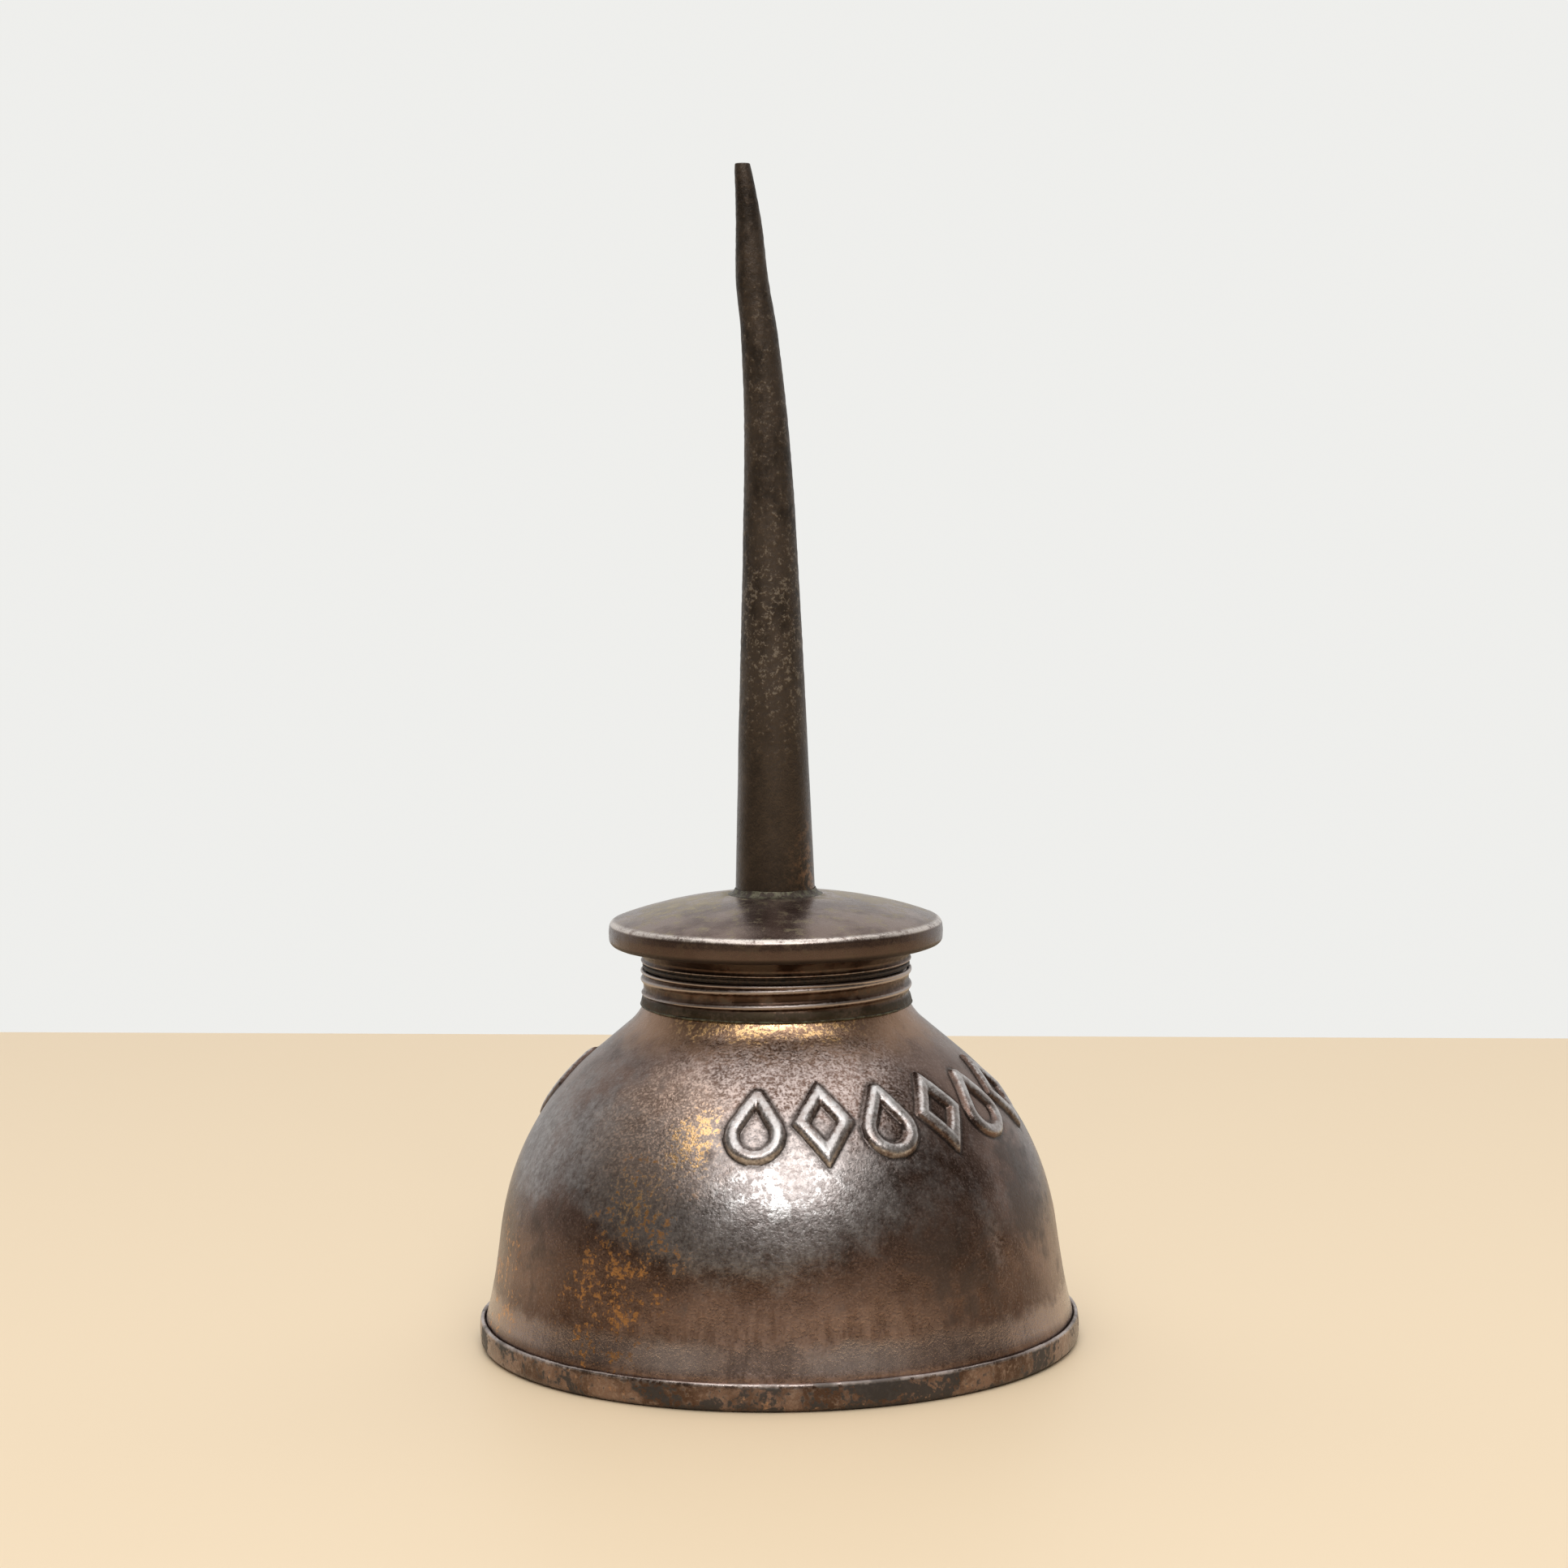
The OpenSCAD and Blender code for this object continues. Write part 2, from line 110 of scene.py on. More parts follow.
def finer(outline, step):
    """The same outline with points no further apart than step."""
    points = [outline[0]]
    for a, b in zip(outline, outline[1:]):
        count = max(1, math.ceil(math.dist(a, b) / step))
        points += [(a[0] + (b[0] - a[0]) * i / count, a[1] + (b[1] - a[1]) * i / count)
                   for i in range(1, count + 1)]
    return points


def turned(name, outline, sides, closed=True):
    """A piece turned like work on a lathe: its outline is drawn point by point and spun round Z."""
    bpy.ops.object.select_all(action="DESELECT")
    first = outline[0]
    bpy.ops.mesh.primitive_plane_add(size=mm, location=(0, 0, 0))
    piece = bpy.context.object
    piece.name = piece.data.name = name
    bpy.ops.object.mode_set(mode="EDIT")
    bpy.ops.mesh.select_mode(type="VERT")
    bpy.ops.mesh.merge(type="CENTER")
    bpy.ops.transform.translate(value=(first[0] * mm, 0, first[1] * mm))
    loop = list(outline) + [first] if closed else list(outline)
    for a, b in zip(loop, loop[1:]):
        move = ((b[0] - a[0]) * mm, 0, (b[1] - a[1]) * mm)
        bpy.ops.mesh.extrude_region_move(TRANSFORM_OT_translate={"value": move})
    bpy.ops.mesh.select_all(action="SELECT")
    bpy.ops.mesh.spin(steps=sides, angle=math.tau, center=(0, 0, 0), axis=(0, 0, 1))
    bpy.ops.mesh.select_all(action="SELECT")
    bpy.ops.mesh.remove_doubles(threshold=0.002 * mm)
    bpy.ops.mesh.normals_make_consistent(inside=False)
    bpy.ops.object.mode_set(mode="OBJECT")
    return piece


def points_of(piece):
    """The piece's points in millimetres, one row each."""
    flat = np.empty(len(piece.data.vertices) * 3)
    piece.data.vertices.foreach_get("co", flat)
    return flat.reshape(-1, 3) / mm


def move_points(piece, points):
    piece.data.vertices.foreach_set("co", (points * mm).ravel())
    piece.data.update()


def smooth(low, high, value):
    """0 below low, 1 above high, and an easy curve between them."""
    t = np.clip((value - low) / (high - low), 0, 1)
    return t * t * (3 - 2 * t)


def lumps(points, size, seed=0.0):
    """A smooth random height from -1 to 1 at each point; size is the width of a lump."""
    shift = Vector((seed, 2 * seed, -seed))
    return np.array([noise.noise(Vector(p) / size + shift) for p in points])


def outward(points):
    """The direction away from the can's axis at each point."""
    flat = points * (1, 1, 0)
    return flat / np.maximum(np.linalg.norm(flat, axis=1, keepdims=True), 1e-9)


def keep_mark(piece, name, values):
    """Stores one number for each point, for the piece's finish to read."""
    mark = piece.data.attributes.new(name, "FLOAT", "POINT")
    mark.data.foreach_set("value", np.asarray(values, np.float32))


def shade(piece, angle=40):
    bpy.ops.object.select_all(action="DESELECT")
    piece.select_set(True)
    bpy.context.view_layer.objects.active = piece
    bpy.ops.object.shade_smooth_by_angle(angle=math.radians(angle))


class Value:
    """One socket's value in a finish. Sums on it add Math nodes."""

    def __init__(self, finish, socket):
        self.finish = finish
        self.socket = socket

    def sum(self, operation, first, second):
        return self.finish.node("ShaderNodeMath", {"operation": operation}, {0: first, 1: second})

    def __add__(self, other):
        return self.sum("ADD", self, other)

    def __sub__(self, other):
        return self.sum("SUBTRACT", self, other)

    def __mul__(self, other):
        return self.sum("MULTIPLY", self, other)

    def __rsub__(self, other):
        return self.sum("SUBTRACT", other, self)

    __radd__ = __add__
    __rmul__ = __mul__


class Finish:
    """A material while it is being mixed."""

    def __init__(self, name):
        self.material = bpy.data.materials.new(name)
        self.material.use_nodes = True
        self.tree = self.material.node_tree
        self.shader = self.tree.nodes["Principled BSDF"]
        self.place = self.node("ShaderNodeTexCoord", {}, {}, "Object")
        self.y = self.node("ShaderNodeSeparateXYZ", {}, {0: self.place}, "Y")
        self.height = self.node("ShaderNodeSeparateXYZ", {}, {0: self.place}, "Z") * (1 / mm)

    def node(self, kind, settings, inputs, out=0):
        """Any node: its type, its settings, and the values or links of its sockets."""
        made = self.tree.nodes.new(kind)
        for name, value in settings.items():
            setattr(made, name, value)
        for key, value in inputs.items():
            if isinstance(value, Value):
                self.tree.links.new(value.socket, made.inputs[key])
            else:
                made.inputs[key].default_value = value
        return Value(self, made.outputs[out])

    def mix(self, amount, colour, other):
        """From colour to other as amount goes from 0 to 1."""
        sockets = {0: amount, 6: opaque(colour), 7: opaque(other)}
        return self.node("ShaderNodeMix", {"data_type": "RGBA"}, sockets, 2)

    def grain(self, size, detail=3.0, seed=0.0, rough=0.55, stretch=(1, 1, 1), warp=0.0):
        """Cloudy noise from about 0.25 to 0.75; size is the width of one cloud in millimetres."""
        moved = self.node("ShaderNodeMapping", {}, {"Vector": self.place, "Scale": stretch,
                                                    "Location": (seed, seed / 2, -seed)})
        return self.node("ShaderNodeTexNoise", {}, {
            "Vector": moved, "Scale": 1 / (size * mm), "Detail": detail, "Roughness": rough,
            "Distortion": warp})

    def step(self, value, low, high):
        """0 below low, 1 above high, smooth between; low may be the larger."""
        return self.node("ShaderNodeMapRange", {"interpolation_type": "SMOOTHSTEP"},
                         {"Value": value, "From Min": low, "From Max": high})

    def near(self, spot, reach, fade, ragged=0.0, squash=(1, 1, 1)):
        """1 round a spot, 0 further than reach; all in millimetres. ragged breaks up the edge."""
        apart = self.node("ShaderNodeVectorMath", {"operation": "SUBTRACT"},
                          {0: self.place, 1: [c * mm for c in spot]})
        shaped = self.node("ShaderNodeVectorMath", {"operation": "MULTIPLY"},
                           {0: apart, 1: [s / mm for s in squash]})
        length = self.node("ShaderNodeVectorMath", {"operation": "LENGTH"}, {0: shaped}, "Value")
        if ragged:
            length = length + (self.grain(2.6, 4, spot[0] + 3) - 0.5) * (2 * ragged)
        return self.step(length, reach, reach - fade)

    def mark(self, name):
        """The number stored on the mesh under this name."""
        return self.node("ShaderNodeAttribute", {"attribute_name": name}, {}, "Fac")

    def relief(self, value, depth):
        """A Bump node for fine unevenness; depth is in millimetres."""
        return self.node("ShaderNodeBump", {}, {"Height": value, "Distance": depth * mm, "Strength": 1.0})

    def onto(self, piece, **sockets):
        """Sets the shader's sockets, by their names with _ for a space, and gives it to the piece."""
        for name, value in sockets.items():
            socket = self.shader.inputs[name.replace("_", " ")]
            if isinstance(value, Value):
                self.tree.links.new(value.socket, socket)
            else:
                socket.default_value = opaque(value)
        piece.data.materials.clear()
        piece.data.materials.append(self.material)


def opaque(colour):
    """A colour of three numbers gets its fourth; anything else stays."""
    return (*colour, 1.0) if isinstance(colour, tuple) and len(colour) == 3 else colour


def on_dome(angle, z, r):
    """The point at an angle from the front, towards the right, at a height and a radius."""
    a = math.radians(FRONT + angle)
    return (r * math.cos(a), r * math.sin(a), z)


pan_corner_middle = (pan_r - pan_corner, pan_corner)
pan_outline = finer(
    arc((ledge_in_r + 0.22, ledge_z + 0.22), 0.22, 180, 270, 3)
    + arc((ledge_out_r - 0.5, ledge_z - 0.6), 0.6, 90, 30, 4)
    + arc((floor_in_r + 0.2, 0.6), 0.6, 210, 270, 4)
    + arc(pan_corner_middle, pan_corner, -90, 0, 8), 1.0)
pan_outline += finer([(pan_r, pan_corner + 0.2), (pan_r + 0.02, 1.7), (pan_r - 0.02, 2.4)], 0.3)
pan_outline += arc((pan_r - 0.3, pan_h - 0.24), 0.24, 10, 170, 7)
pan_outline += finer([(pan_r - pan_sheet, 2.3), (pan_r - pan_sheet, pan_corner)], 0.5)
pan_outline += arc(pan_corner_middle, pan_corner - pan_sheet, 0, -90, 5)
pan_outline += [(floor_in_r + 0.35, pan_sheet), (ledge_out_r + 0.05, ledge_z + pan_sheet),
                (ledge_in_r + 0.1, ledge_z + pan_sheet)]

base_pan = turned("base_pan", pan_outline, 360)
points = points_of(base_pan)
wall = smooth(0.6, 2.6, points[:, 2]) * smooth(pan_r - 1.2, pan_r - 0.6, np.hypot(points[:, 0], points[:, 1]))
around = points * (1, 1, 0)
points += outward(points) * (wall * 0.07 * lumps(around, 9, 3))[:, None]
points[:, 2] += wall * (0.05 * lumps(around, 7, 8) + 0.025 * lumps(around, 2.2, 5))
move_points(base_pan, points)
shade(base_pan)

finish = Finish("worn_copper_pan")
blotches = finish.grain(4.5, 4, 11, 0.6)
small = finish.grain(0.55, 3, 5, 0.65)
brown = finish.mix(finish.step(blotches, 0.4, 0.62), (0.10, 0.062, 0.046), (0.24, 0.165, 0.135))
pinkish = finish.mix(finish.step(small, 0.45, 0.7) * 0.6, brown, (0.42, 0.32, 0.27))
black_front = finish.near((-6.5, -32.8, 1.4), 3.2, 2.6, 1.5) + finish.near((10, -31.4, 1.4), 9, 7, 2.5)
black_front = black_front + finish.near((-29, -16, 1.4), 6, 5, 2)
tarnish = finish.step(
    finish.grain(6, 5, 29, 0.62, warp=0.6) + (small - 0.5) * 0.45 + black_front * 0.055, 0.5, 0.575)
dark = finish.mix(tarnish * 0.9, pinkish, (0.04, 0.036, 0.034))
chips = finish.step(finish.grain(1.1, 4, 41, 0.7), 0.62, 0.68)
chipped = finish.mix(chips * finish.step(blotches, 0.42, 0.55) * 0.6, dark, (0.50, 0.30, 0.18))
# painted highlight with rubbed wear: the top of the pan's wall is lightened all round
top_edge = finish.step(finish.height + (small - 0.5) * 0.5, 2.5, 2.8)
worn_and_highlit = finish.mix(top_edge * (0.25 + finish.step(blotches, 0.38, 0.6) * 0.6), chipped, (0.52, 0.45, 0.42))
finish.onto(base_pan, Base_Color=worn_and_highlit, Metallic=1.0 - tarnish * 0.6,
            Roughness=0.30 + tarnish * 0.28 + (small - 0.5) * 0.35,
            Normal=finish.relief(small + blotches, 0.05))
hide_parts("base_pan")
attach(base_pan, "can")


# ---- Solder at the foot ----
# Soft solder run into the gap between the pan's wall and the dome's foot. It has gone nearly
# black and holds the dirt, so the joint shows as a dark line.

foot_r = 31.1
foot_z = 0.6
shell_sheet = 0.5
gap_r = pan_r - pan_sheet - 0.02
solder_outline = (
    [(foot_r, foot_z), (foot_r + 0.01, 2.45), (foot_r + 0.12, 2.3), (gap_r, 2.38)]
    + arc(pan_corner_middle, pan_corner - pan_sheet - 0.02, 0, -90, 5)
    + [(foot_r - 1.2, pan_sheet + 0.02), (foot_r - 0.8, 0.75), (foot_r - shell_sheet, 1.15),
       (foot_r - shell_sheet, foot_z)])
base_solder = turned("base_solder", solder_outline, 240)
points = points_of(base_solder)
points[:, 2] += smooth(2.2, 2.35, points[:, 2]) * 0.12 * lumps(points * (1, 1, 0), 1.4, 2)
move_points(base_solder, points)
shade(base_solder, 60)

finish = Finish("blackened_solder")
grit = finish.grain(0.5, 4, 3, 0.7)
finish.onto(base_solder, Base_Color=finish.mix(finish.step(grit, 0.45, 0.7), (0.02, 0.017, 0.014),
                                               (0.12, 0.10, 0.085)),
            Metallic=0.4, Roughness=0.6 + (grit - 0.5) * 0.4, Normal=finish.relief(grit, 0.12))
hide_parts("base_solder")
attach(base_solder, "can")


# ---- Body shell ----
# The dome is drawn from one disc of copper-plated sheet steel, with a row of drops and diamonds
# pressed out of the shoulder on each side. Handling has worn the plate to a brown, grey and
# silver patina; bright copper and brass-coloured flakes are left where hands do not reach.
# Painted light is mixed into its colour: light on the pink at the front low down, a highlight
# below the front row and a band round the foot, sparkle among the grains of the upper shoulder,
# a brass reflection among the flakes under the neck, and shade round each motif.

flare_top_z = 8.2
shoulder_r = 29.3
shoulder_z = 12.9
side_lean = 8.3
shoulder_bend = 28.5
shoulder_turn = 41.6
throat_bend = 5.7
stub_r = 13.55
stub_top_z = 36.7


def bend(path, radius, lean, steps):
    """Adds a round bend to a path of (radius, height, lean); a negative radius curves outwards."""
    r, z, start = path[-1]
    for i in range(1, steps + 1):
        a = math.radians(start + (lean - start) * i / steps)
        b = math.radians(start)
        path.append((r + radius * (math.cos(a) - math.cos(b)), z + radius * (math.sin(a) - math.sin(b)),
                     math.degrees(a)))


def straight(path, r, z, steps):
    """Adds a straight stretch, at the path's own lean, that ends at a radius and a height."""
    r0, z0, lean = path[-1]
    path += [(r0 + (r - r0) * i / steps, z0 + (z - z0) * i / steps, lean) for i in range(1, steps + 1)]


def shell_path(fineness):
    """The dome's outer wall from its foot to the end of its neck stub."""
    side_r = shoulder_r + (shoulder_z - flare_top_z) * math.tan(math.radians(side_lean))
    chord = math.degrees(math.atan((foot_r - side_r) / (flare_top_z - pan_h)))
    flare_lean = 2 * chord - side_lean
    flare_bend = (flare_top_z - pan_h) / (math.sin(math.radians(flare_lean))
                                          - math.sin(math.radians(side_lean)))
    path = [(foot_r, foot_z, 0), (foot_r, pan_h - 0.5, 0), (foot_r, pan_h, flare_lean)]
    bend(path, -flare_bend, side_lean, 2 * fineness)
    straight(path, shoulder_r, shoulder_z, 2 * fineness)
    bend(path, shoulder_bend, side_lean + shoulder_turn, 7 * fineness)
    lean = math.radians(path[-1][2])
    throat_r = stub_r + throat_bend * (1 - math.cos(lean))
    throat_z = path[-1][1] + (path[-1][0] - throat_r) / math.tan(lean)
    straight(path, throat_r, throat_z, fineness)
    end = math.asin(math.sin(lean) - (stub_top_z - throat_z) / throat_bend)
    bend(path, -throat_bend, math.degrees(end), 3 * fineness)
    return path


def moved_in(path, distance):
    return [(r - distance * math.cos(math.radians(a)), z - distance * math.sin(math.radians(a)))
            for r, z, a in path]


outer_wall = shell_path(4)
inner_wall = shell_path(2)
body_shell = turned("body_shell", moved_in(outer_wall, 0) + moved_in(inner_wall, shell_sheet)[::-1], 240)

# The motifs: six to a row, alternately a drop and a diamond drawn with a raised line
motif_count = 6
motif_step = 17
motif_middle = 37
motif_w = 6.1
motif_h = 8.8
motif_line = 1.5
motif_raise = 0.52
motif_z = 27.1
bend_r = shoulder_r - shoulder_bend * math.cos(math.radians(side_lean))
bend_z = shoulder_z - shoulder_bend * math.sin(math.radians(side_lean))
motif_lean = math.asin((motif_z - bend_z) / shoulder_bend)
motif_r = bend_r + shoulder_bend * math.cos(motif_lean)
rows = (FRONT + motif_middle, FRONT + motif_middle + 180)


def turn_between(angles, middle):
    """The signed angle in degrees from a middle to each angle."""
    return (angles - middle + 180) % 360 - 180


def refine(piece, wanted, cuts):
    """Cuts the faces whose middles are wanted into finer ones."""
    bpy.ops.object.select_all(action="DESELECT")
    piece.select_set(True)
    bpy.context.view_layer.objects.active = piece
    bpy.ops.object.mode_set(mode="EDIT")
    bpy.ops.mesh.select_mode(type="FACE")
    bpy.ops.mesh.select_all(action="DESELECT")
    bpy.ops.object.mode_set(mode="OBJECT")
    middles = np.empty(len(piece.data.polygons) * 3)
    piece.data.polygons.foreach_get("center", middles)
    normals = np.empty(len(piece.data.polygons) * 3)
    piece.data.polygons.foreach_get("normal", normals)
    chosen = wanted(middles.reshape(-1, 3) / mm, normals.reshape(-1, 3))
    piece.data.polygons.foreach_set("select", chosen)
    bpy.ops.object.mode_set(mode="EDIT")
    bpy.ops.mesh.subdivide(number_cuts=cuts)
    bpy.ops.object.mode_set(mode="OBJECT")


def faces_out(middles, normals):
    return np.einsum("ij,ij->i", outward(middles), normals) + normals[:, 2] > 0


row_low_z = 22.3
row_high_z = 31.2


def in_motif_rows(middles, normals):
    angles = np.degrees(np.arctan2(middles[:, 1], middles[:, 0]))
    reach = motif_count * motif_step / 2
    beside = np.min([np.abs(turn_between(angles, row)) for row in rows], axis=0) < reach
    level = (middles[:, 2] > row_low_z) & (middles[:, 2] < row_high_z)
    return beside & level & faces_out(middles, normals)


# A knock has left a crease below the right end of the front row
crease_ends = (on_dome(45.5, 24.2, 25.2), on_dome(50.5, 10, 29.7))
crease_reach = 3.2


def near_crease(middles, normals):
    a, b = (np.array(p) for p in crease_ends)
    t = np.clip((middles - a) @ (b - a) / np.dot(b - a, b - a), 0, 1)
    apart = np.linalg.norm(middles - a - t[:, None] * (b - a), axis=1)
    return (apart < crease_reach) & (middles[:, 2] < row_low_z) & faces_out(middles, normals)


refine(body_shell, in_motif_rows, 3)
refine(body_shell, near_crease, 1)


def drop_line(u, v):
    """Distance from a drop's line; u is to the right and v is up."""
    r = (motif_w - motif_line) / 2
    tip = motif_h - motif_w / 2 - motif_line * 0.75
    v = v + motif_h / 2 - motif_w / 2
    turn = math.acos(r / tip)
    u = np.abs(u)
    foot = (r * math.sin(turn), r * math.cos(turn))
    along = (u - foot[0]) * -math.cos(turn) + (v - foot[1]) * math.sin(turn)
    flank = u * math.sin(turn) + v * math.cos(turn) - r
    length = math.sqrt(tip * tip - r * r)
    bow = np.hypot(u, v) - r
    return np.abs(np.where(along < 0, bow, np.where(along < length, flank, np.hypot(u, v - tip))))


def diamond_line(u, v):
    """Distance from the outline of a diamond."""
    a = (motif_w - motif_line) / 2
    b = (motif_h - motif_line * 1.2) / 2
    edge = (np.abs(u) * b + np.abs(v) * a - a * b) / math.hypot(a, b)
    return np.abs(edge)


points = points_of(body_shell)
radius = np.hypot(points[:, 0], points[:, 1])
angle = np.degrees(np.arctan2(points[:, 1], points[:, 0]))
lean = np.arctan2(points[:, 2] - bend_z, radius - bend_r)
reach = np.hypot(points[:, 2] - bend_z, radius - bend_r)
on_bend = (abs(reach - shoulder_bend) < 0.1) & (lean > math.radians(side_lean)) \
    & (lean < math.radians(side_lean + shoulder_turn)) & (points[:, 2] > shoulder_z)
exact_r = bend_r + shoulder_bend * np.cos(lean)
exact_z = bend_z + shoulder_bend * np.sin(lean)
out = outward(points)
points = np.where(on_bend[:, None], out * exact_r[:, None] + np.outer(exact_z, (0, 0, 1)), points)

apart = np.full(len(points), 99.0)
for row in rows:
    for i in range(motif_count):
        a = math.radians(row + (i - (motif_count - 1) / 2) * motif_step)
        across = np.array((-math.sin(a), math.cos(a), 0))
        up = np.array((-math.sin(motif_lean) * math.cos(a), -math.sin(motif_lean) * math.sin(a),
                       math.cos(motif_lean)))
        middle = np.array((motif_r * math.cos(a), motif_r * math.sin(a), motif_z))
        u = (points - middle) @ across
        v = (points - middle) @ up
        here = (np.abs(u) < motif_w) & (np.abs(v) < motif_h) & on_bend
        line = drop_line if i % 2 == 0 else diamond_line
        apart[here] = np.minimum(apart[here], line(u[here], v[here]))

half_line = motif_line / 2
raised = np.clip(1 - (apart / (half_line + 0.05)) ** 2, 0, 1) ** 0.6
sunk = np.exp(-((apart - half_line - 0.2) / 0.22) ** 2)
a, b = (np.array(p) for p in crease_ends)
t = np.clip((points - a) @ (b - a) / np.dot(b - a, b - a), 0, 1)
bent = points - a - t[:, None] * (b - a) + out * (0.8 * np.sin(5 * t))[:, None]
crease = np.exp(-(np.linalg.norm(bent, axis=1) / 0.9) ** 2) * np.sin(np.pi * np.clip(t, 0.02, 0.98))
skin = np.abs(radius - np.interp(points[:, 2], [p[1] for p in outer_wall],
                                 [p[0] for p in outer_wall])) < 0.12
free = smooth(3.2, 5.0, points[:, 2]) * smooth(35.5, 33.5, points[:, 2])
dents = 0.08 * lumps(points, 15, 4) + 0.04 * lumps(points, 4.5, 9) + 0.008 * lumps(points, 1.7, 14)
normal = out * np.cos(lean)[:, None] + np.outer(np.sin(lean), (0, 0, 1))
normal = np.where(on_bend[:, None], normal, out)
height = motif_raise * raised * (0.96 + 0.06 * lumps(points, 1.3, 6)) - 0.05 * sunk
height += free * (dents - 0.16 * crease)
points += normal * np.where(skin | on_bend, height, 0)[:, None]
move_points(body_shell, points)
keep_mark(body_shell, "raised", raised)
keep_mark(body_shell, "sunk", sunk)
keep_mark(body_shell, "crease", crease)
shade(body_shell, 50)

finish = Finish("dome_patina")
cloud = finish.grain(9, 4, 17, 0.6)
mottle = finish.grain(2.4, 5, 31, 0.62)
speck = finish.grain(0.26, 2, 7, 0.6)
dust = finish.grain(0.6, 4, 23, 0.72)
streak = finish.grain(1.1, 4, 37, 0.65, stretch=(1, 1, 0.12))
z = finish.height

# brown plate, darker in clouds, and pinker low down
brown = finish.mix(finish.step(cloud, 0.38, 0.62), (0.075, 0.043, 0.031), (0.18, 0.115, 0.09))
low = finish.step(z, 15, 6)
# painted light: the pink is stronger and lighter towards the front, low down
painted_front_light = finish.near(on_dome(3, 7, 30), 25, 15, 5)
pink = finish.mix(low * (painted_front_light * 0.38 + mottle * (0.22 + painted_front_light * 0.58)), brown, (0.48, 0.33, 0.27))
streaked = finish.mix(low * finish.step(streak, 0.42, 0.62) * 0.45, pink, (0.12, 0.06, 0.036))
# painted highlight: a pale band round the foot's flare, strongest in two patches at the front
painted_flare_highlight = finish.step(z + (mottle - 0.5) * 3, 7.0, 5.4) * finish.step(z, 3.0, 4.2)
flare_highlight_spots = finish.near(on_dome(-20, 4.8, 30.6), 6, 5, 2) + finish.near(on_dome(14, 4.8, 30.6), 9, 8, 3)
with_flare_highlight = finish.mix(painted_flare_highlight * (0.25 + flare_highlight_spots * 0.55), streaked, (0.80, 0.67, 0.62))
plate = finish.mix(finish.step(speck, 0.5, 0.72) * 0.4, with_flare_highlight, (0.36, 0.265, 0.23))

# grey steel where the plate is rubbed through: a belt under the shoulder and the left flank, with a painted
# highlight below the front row
belt = finish.step(z, 13, 18.5) * finish.step(z, 30, 24)
front_belt = finish.near(on_dome(-8, 20.5, 27.5), 21, 11, 4, (1, 1, 1.9))
left_flank = finish.near(on_dome(-58, 26, 23.5), 15, 10, 3.5)
left_brown = finish.near(on_dome(-52, 13.5, 29), 9, 7, 3.5)
right_brown = finish.near(on_dome(52, 24, 25), 7, 5, 3)
kept = left_brown * 0.3 + right_brown * 0.12
rubbed = finish.step(
    belt * 0.2 + front_belt * 0.36 + left_flank * 0.22 + mottle * 0.8 + dust * 0.15 - kept, 0.54, 1.0)
grey = finish.mix(finish.step(dust, 0.34, 0.66), (0.22, 0.192, 0.182), (0.37, 0.342, 0.332))
# painted highlight: near-white patches in the grey below the front row
painted_highlight_zone = finish.near(on_dome(1, 21.2, 27.0), 9.5, 7, 2.5, (1, 1, 2.0))
painted_highlight = finish.step(mottle + (dust - 0.5) * 0.6 + (speck - 0.5) * 0.3, 0.5, 0.64) * painted_highlight_zone
grey_and_painted_highlight = finish.mix(painted_highlight * 0.85, grey, (0.74, 0.72, 0.71))
metal = finish.mix(rubbed * 0.92, plate, grey_and_painted_highlight)

# pink and silver grains on the upper shoulder; at the front they are partly a painted highlight
upper = finish.near(on_dome(4, 30.5, 19), 17, 13, 2.5, (1, 1, 1.1))
grain_and_sparkle = finish.step(speck * 0.5 + dust * 0.5, 0.4, 0.62) * upper
with_grain_and_sparkle = finish.mix(grain_and_sparkle * 0.75, metal, (0.72, 0.61, 0.57))

# brass and copper flakes: a patch by the front row and down the left side, and a brass ring under the neck at
# the front that is partly a painted reflection
# painted reflection: the brass ring under the neck, placed at the front only
neck_painted_reflection = finish.step(z + (mottle - 0.5) * 5, 33.2, 35.0) * finish.near(on_dome(-3, 35, 14.5), 14, 10, 2)
warm_neck = finish.step(z + (mottle - 0.5) * 4, 31.5, 34.5) * finish.step(finish.y, 0.004, -0.006)
patch = finish.near(on_dome(-20, 25.5, 24), 4.2, 3.4, 1.6, (1, 1, 0.62))
trail = finish.near(on_dome(-31, 19.5, 27), 5.5, 5, 2.2, (1, 1, 0.7)) * 0.55
flakes_and_reflection = neck_painted_reflection + patch + trail
warmed = finish.mix(warm_neck * 0.6, with_grain_and_sparkle, (0.42, 0.25, 0.15))
left_front = finish.near(on_dome(-30, 26, 23.8), 11, 8, 3)
dusted = left_front * (0.3 + finish.step(speck * 0.6 + dust * 0.4, 0.5, 0.6) * 0.6)
peppered = finish.mix(dusted, warmed, (0.72, 0.52, 0.41))
gold = finish.step(dust * 0.7 + speck * 0.3 + flakes_and_reflection * 0.08, 0.55, 0.61) * finish.step(flakes_and_reflection, 0.05, 0.6)
brass_and_reflection = finish.mix(gold * 0.92, peppered, (0.95, 0.60, 0.29))

drip = finish.near(on_dome(-30, 16, 27.8), 8.5, 7, 2.5, (1, 1, 0.62))
low_left = finish.near(on_dome(-38, 8, 29.6), 9, 7, 2.5, (1, 1, 0.8))
side = finish.near(on_dome(-72, 7, 30), 8, 6, 3, (1, 1, 0.6))
behind = finish.step(finish.y, 0.002, 0.02) * finish.step(cloud, 0.5, 0.62)
copper_zone = drip + low_left * 0.8 + side * 0.8 + behind * 0.7
copper = finish.step(dust * 0.6 + mottle * 0.4 + copper_zone * 0.05, 0.575, 0.63)
copper = copper * finish.step(copper_zone, 0.05, 0.6) * 0.85
coppered = finish.mix(copper, brass_and_reflection, (0.60, 0.30, 0.11))
